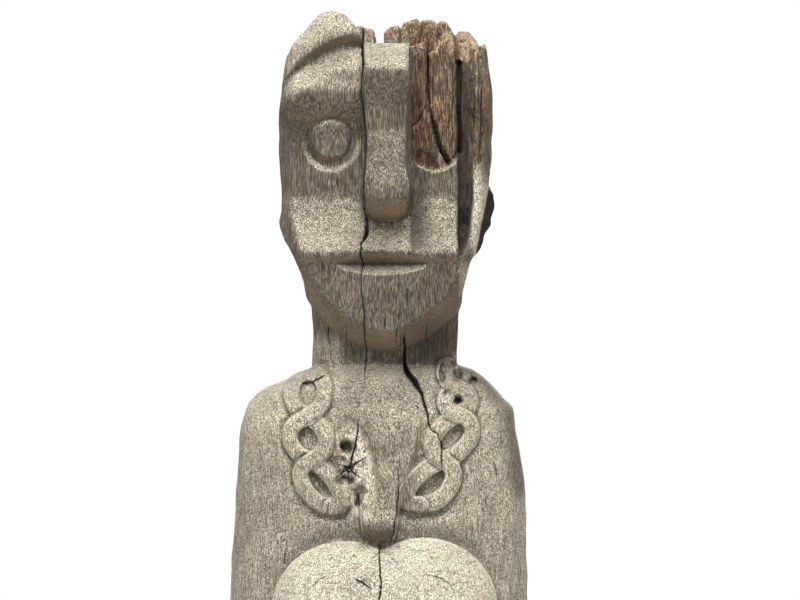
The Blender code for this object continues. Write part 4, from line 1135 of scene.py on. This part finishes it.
def weathered_wood(colours):
    """Old hardwood out of doors: grey streaked sides, pale tops that are partly paled by the weather and
    partly painted light, tan undersides of painted bounce light, red rot, and cracks and hollows darkened as
    painted shade."""
    material, nodes, shader, place = new_material("weathered_wood")
    paint = SimpleNamespace(**{name: tuple(getattr(colours, name)) for name in WoodColours.__annotations__})
    dark, black = paint.dark_fibre_and_shade, paint.crack
    fibre = place_group(nodes, wood_fibre_group(), place)
    rings = place_group(nodes, growth_ring_group(), place)["Rings"]
    checks_seen = place_group(nodes, drying_check_group(), place)["Checks"]
    crackle = place_group(nodes, crackle_group(), place)
    lines = place_group(nodes, carved_line_group(), place)
    normal = nodes.add("ShaderNodeNewGeometry").outputs["Normal"]
    up = nodes.add("ShaderNodeSeparateXYZ", {"Vector": normal}).outputs["Z"]
    rot, hollow, ridge, bleach, crumb = map(nodes.mask, ("rot", "hollow", "ridge", "bleach", "crumb"))

    streaks = nodes.noise(place, (42.0, 42.0, 3.2), 3.0, 0.6)
    upright = nodes.math("SUBTRACT", 1.0, nodes.math("ABSOLUTE", up), clamp=True)
    wood = nodes.mix(nodes.step(fibre["Fibre"], 0.0, 0.55), dark, paint.grey_fibre)
    wood = nodes.coats(wood, (nodes.step(fibre["Fibre"], 0.5, 1.0), 1.0, paint.pale_fibre),
                       (nodes.times(nodes.step(streaks, 0.52, 0.30), upright), 0.62, dark))

    streaky = nodes.times(nodes.mask("streak"), nodes.step(rot, 0.3, 0.0))
    # Faces turned up, painted paler both for the weather's paling and for the light that falls on them from
    # above.
    sky = nodes.step(nodes.plus(up, nodes.times(nodes.minus(fibre["Stipple"], 0.5), 0.3)), 0.12, 0.66)
    sky = nodes.times(sky, nodes.minus(1.0, nodes.times(streaky, 0.35)))
    flat = nodes.math("MAXIMUM", nodes.step(up, 0.20, 0.60, 0.20, 0.80),
                      nodes.step(bleach, 0.1, 0.5, 0.0, 0.62))
    flat = nodes.times(flat, nodes.minus(1.0, nodes.times(streaky, 0.8)))
    speckle = nodes.plus(fibre["Fibre"], nodes.times(nodes.minus(fibre["Stipple"], fibre["Fibre"]), flat))
    dry_and_lit = nodes.mix(speckle, paint.bleached_and_lit_dark, paint.bleached_and_lit)
    crackled = nodes.math("MAXIMUM", nodes.step(bleach, 0.4, 1.0, 0.08, 0.55),
                          nodes.step(up, 0.2, 0.6, 0.0, 0.45))
    arcs = nodes.noise(place, (30.0, 30.0, 430.0), 2.0, 0.6)
    arc_lines = nodes.times(nodes.step(arcs, 0.58, 0.66), nodes.step(bleach, 0.75, 1.0, 0.12, 0.75))
    # The pale colours go on faces turned to the sky and on the pale patches, partly as painted light, and
    # lighten the ridges.
    wood = nodes.coats(wood, (sky, 0.64, dry_and_lit), (bleach, 0.9, dry_and_lit), (nodes.step(ridge, 0.1, 1.0), 0.55, dry_and_lit),
                       # Faces turned down get the tan of painted bounce light.
                       (nodes.step(up, -0.25, -0.75), 0.7, paint.bounce_light_and_worm_tan),
                       (nodes.step(rings, 0.35, 0.0), 0.14, dark),
                       (nodes.times(crackle["Fine"], crackled), 1.0, dark),
                       (nodes.times(arc_lines, nodes.step(up, -0.1, 0.5)), 1.0, dark))
    blotches = nodes.noise(place, (30.0, 30.0, 21.0), 3.0, 0.65)
    wood = nodes.mix(0.7, wood, nodes.step(blotches, 0.34, 0.66, 0.80, 1.17), "MULTIPLY")
    eaten = nodes.times(crackle["Worms"], crumb)
    wood = nodes.coats(wood, (fibre["Pores"], 0.6, dark), (crumb, 0.85, paint.bleached_and_lit),
                       # The worm tracks get the tan; the lobes' palest tops get a painted highlight.
                       (eaten, 0.85, paint.bounce_light_and_worm_tan), (nodes.step(bleach, 0.80, 1.02), 0.16, paint.sunlit))
    ends_show = nodes.math("MAXIMUM", nodes.times(sky, 0.08), nodes.step(bleach, 0.0, 0.6, 0.0, 0.34))
    wood = nodes.mix(nodes.plus(ends_show, 0.22), wood, nodes.step(speckle, 0.1, 0.9, 0.42, 1.50), "MULTIPLY")

    rot_patches = nodes.noise(place, (170.0, 170.0, 16.0), 4.0, 0.72)
    splinters = nodes.step(nodes.noise(place, (850.0, 850.0, 75.0), 2.0, 0.6), 0.40, 0.62)
    grey_patches = nodes.step(nodes.noise(place, (24.0, 24.0, 9.0)), 0.42, 0.66)
    rotten = nodes.mix(nodes.step(rot_patches, 0.38, 0.68), paint.rotten, paint.rotten_pale)
    rotten = nodes.coats(rotten, (splinters, 0.5, paint.rotten_pale), (grey_patches, 1.0, paint.grey_fibre),
                         # Rot that faces the sky gets pale splinters as a painted highlight.
                         (nodes.mask("red"), 0.55, paint.rotten), (sky, 0.7, paint.splinter_and_highlight),
                         (fibre["Pores"], 0.8, black), (ridge, 0.35, paint.splinter_and_highlight))
    rotten = nodes.mix(0.75, rotten, nodes.step(splinters, 0.0, 1.0, 0.40, 1.70), "MULTIPLY")
    # Painted shade in the rot's hollows.
    rotten = nodes.coats(rotten, (hollow, 0.55, black))
    ragged = nodes.times(nodes.minus(rot_patches, 0.5), 0.6)

    charred = nodes.step(nodes.plus(nodes.mask("soot"), ragged), 0.35, 0.65)
    wood = nodes.coats(wood, (nodes.step(nodes.plus(rot, ragged), 0.35, 0.75), 1.0, rotten),
                       # Dark stains mixed with painted shade and the nose's painted shadow, then the charred
                       # ear.
                       (nodes.mask("stain"), 0.8, paint.stained_and_painted_shade), (charred, 1.0, black),
                       # Painted shade in the hollows, then the drying checks.
                       (hollow, 0.72, dark), (checks_seen, 0.85, black),
                       # Pits, checks and cracks painted near-black as shade.
                       (nodes.step(nodes.mask("crack"), 0.15, 1.0), 1.0, black),
                       # A painted highlight on the raised side of carved edges, a painted shadow on their
                       # lower side.
                       (lines["Light edge"], 0.45, paint.bleached_and_lit), (lines["Dark edge"], 0.6, dark),
                       (lines["Crack"], 1.0, black))
    nodes.give(shader["Base Color"], wood)
    nodes.give(shader["Roughness"], nodes.step(fibre["Fibre"], 0.0, 1.0, 0.92, 0.78))
    nodes.give(shader["Specular IOR Level"], 0.22)

    height = nodes.times(speckle, 0.6)
    for bumps, amount in ((rings, 0.10), (eaten, -1.8), (nodes.times(splinters, rot), 0.9),
                          (fibre["Pores"], -0.6), (checks_seen, -1.6), (nodes.times(rot_patches, rot), 1.2)):
        height = nodes.plus(height, nodes.times(bumps, amount))
    bump = nodes.add("ShaderNodeBump", {"Height": height, "Distance": BUMP_HEIGHT, "Strength": 0.9})
    nodes.give(shader["Normal"], bump.outputs["Normal"])
    return material


def floor_material():
    """Plain pale floor with a barely mottled surface."""
    material, nodes, shader, place = new_material("pale_floor")
    mottle = nodes.noise(place, (3.0, 3.0, 3.0), 3.0, 0.5)
    nodes.give(shader["Base Color"], nodes.mix(nodes.step(mottle, 0.3, 0.7), (0.80, 0.80, 0.79),
                                               (0.84, 0.84, 0.83)))
    nodes.give(shader["Roughness"], 0.7)
    return material


# Operators


class GUARDIAN_OT_figure(bpy.types.Operator):
    """Carve and weather the whole figure, which stands for the CAD model's log"""

    bl_idname = "guardian.figure"
    bl_label = "Carve the figure"

    def execute(self, context):
        sizes = context.scene.guardian_sizes
        d = drawing_of(sizes)
        density = 1.0
        grid, poles = body_grid(d, sizes.base_height, sizes.base_diameter, density)
        rough = bpy.data.objects.new("rough_figure", closed_mesh("rough_figure", grid, poles))
        context.scene.collection.objects.link(rough)
        even = rough.modifiers.new("even", "REMESH")
        even.mode = "VOXEL"
        even.voxel_size = VOXEL / density
        context.view_layer.update()
        mesh = evaluated_copy(rough)
        rough.modifiers.clear()
        weather(d, sizes.base_height, mesh)
        add_masks(d, sizes.base_height, mesh)
        rough.data = mesh
        spare = rough.vertex_groups.new(name="spare")
        levels = np.round(spare_weights(d, sizes.base_height, mesh) * 20.0).astype(int)
        for level in np.unique(levels):
            spare.add(np.flatnonzero(levels == level).tolist(), level / 20.0, "REPLACE")
        thin = rough.modifiers.new("thin", "DECIMATE")
        thin.ratio = min(1.0, MOST_TRIANGLES / (2.0 * len(mesh.polygons)))
        thin.vertex_group = "spare"
        thin.vertex_group_factor = 1.0
        context.view_layer.update()
        final = evaluated_copy(rough)
        bpy.data.objects.remove(rough)
        final.name = "guardian_log"
        final.shade_smooth()
        final.materials.clear()
        final.materials.append(weathered_wood(context.scene.guardian_colours))
        figure = bpy.data.objects.new("guardian_log", final)
        context.scene.collection.objects.link(figure)
        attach(figure, "root")
        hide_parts("guardian_figure")
        return {"FINISHED"}


def aimed_light(name, place, target, size, power, tint):
    """A square softbox at a place, turned to a target."""
    light = bpy.data.lights.new(name, "AREA")
    light.shape = "SQUARE"
    light.size, light.energy, light.color = size, power, tint
    lamp = bpy.data.objects.new(name, light)
    lamp.location = place
    toward = np.array(target) - np.array(place)
    flat = math.hypot(toward[0], toward[1])
    lamp.rotation_euler = (math.atan2(flat, -toward[2]), 0.0, math.atan2(-toward[0], toward[1]))
    bpy.context.scene.collection.objects.link(lamp)
    return lamp


class GUARDIAN_OT_stage(bpy.types.Operator):
    """Set up the pale floor, the soft light and the camera at the photograph's view"""

    bl_idname = "guardian.stage"
    bl_label = "Set the stage"

    def execute(self, context):
        scene, stage = context.scene, context.scene.guardian_stage
        turns = np.linspace(0.0, 2.0 * np.pi, FLOOR_CORNERS, endpoint=False)
        rim = np.stack((np.cos(turns), np.sin(turns), 0.0 * turns), axis=-1) * stage.floor_radius
        mesh = bpy.data.meshes.new("floor")
        mesh.from_pydata(rim.tolist(), [], [list(range(FLOOR_CORNERS))])
        mesh.materials.append(floor_material())
        floor = bpy.data.objects.new("floor", mesh)
        floor.location = (0.0, 0.0, -FLOOR_DROP)
        scene.collection.objects.link(floor)

        camera = bpy.data.objects.new("camera", bpy.data.cameras.new("camera"))
        face = self.face_front(scene)
        camera.location = (stage.camera_across, -face - stage.camera_distance, stage.camera_height)
        camera.rotation_euler = (math.pi / 2.0, 0.0, 0.0)
        camera.data.sensor_width = 36.0
        camera.data.lens = stage.lens
        scene.collection.objects.link(camera)
        scene.camera = camera

        aimed_light("key", (-0.15, -1.35, 3.1), (0.0, -0.05, 1.2), 1.8, 84.0, (1.0, 0.99, 0.97))
        aimed_light("back_fill", (-0.4, 2.4, 2.8), (0.0, 0.0, 0.9), 2.0, 38.0, (0.97, 0.985, 1.0))
        world = bpy.data.worlds.new("studio")
        world.use_nodes = True
        nodes = Nodes(world.node_tree)
        background = world.node_tree.nodes["Background"]
        seen = nodes.add("ShaderNodeLightPath").outputs["Is Camera Ray"]
        direction = nodes.add("ShaderNodeTexCoord").outputs["Generated"]
        height = nodes.add("ShaderNodeSeparateXYZ", {"Vector": direction}).outputs["Z"]
        glow = nodes.step(height, -0.2, 1.0, 0.22, 1.20)
        strength = nodes.plus(nodes.times(glow, nodes.minus(1.0, seen)), seen)
        nodes.give(background.inputs["Strength"], strength)
        background.inputs["Color"].default_value = (1.0, 1.0, 1.0, 1.0)
        scene.world = world
        scene.view_settings.view_transform = "Standard"
        return {"FINISHED"}

    @staticmethod
    def face_front(scene):
        """How far the face's plane stands before the log's axis."""
        return scene.guardian_sizes.head_depth / 2.0 + scene.guardian_sizes.mask_proud - 0.014


class GUARDIAN_PT_panel(bpy.types.Panel):
    """Sizes, colours and steps of the figure"""

    bl_label = "Guardian pole figure"
    bl_space_type = "VIEW_3D"
    bl_region_type = "UI"
    bl_category = "Guardian"

    def draw(self, context):
        for settings in (context.scene.guardian_sizes, context.scene.guardian_colours,
                         context.scene.guardian_stage):
            for name in type(settings).__annotations__:
                self.layout.prop(settings, name)
        for step in STEPS:
            self.layout.operator(step.bl_idname)


STEPS = (GUARDIAN_OT_figure, GUARDIAN_OT_stage)
GROUPS = {"guardian_sizes": FigureSizes, "guardian_colours": WoodColours, "guardian_stage": StageSettings}


def register():
    for kind in (*GROUPS.values(), *STEPS, GUARDIAN_PT_panel):
        bpy.utils.register_class(kind)
    for name, kind in GROUPS.items():
        setattr(bpy.types.Scene, name, PointerProperty(type=kind))


def unregister():
    for name in GROUPS:
        delattr(bpy.types.Scene, name)
    for kind in reversed((*GROUPS.values(), *STEPS, GUARDIAN_PT_panel)):
        bpy.utils.unregister_class(kind)


def main():
    register()
    bpy.ops.guardian.figure()
    bpy.ops.guardian.stage()


if __name__ == "__main__":
    main()
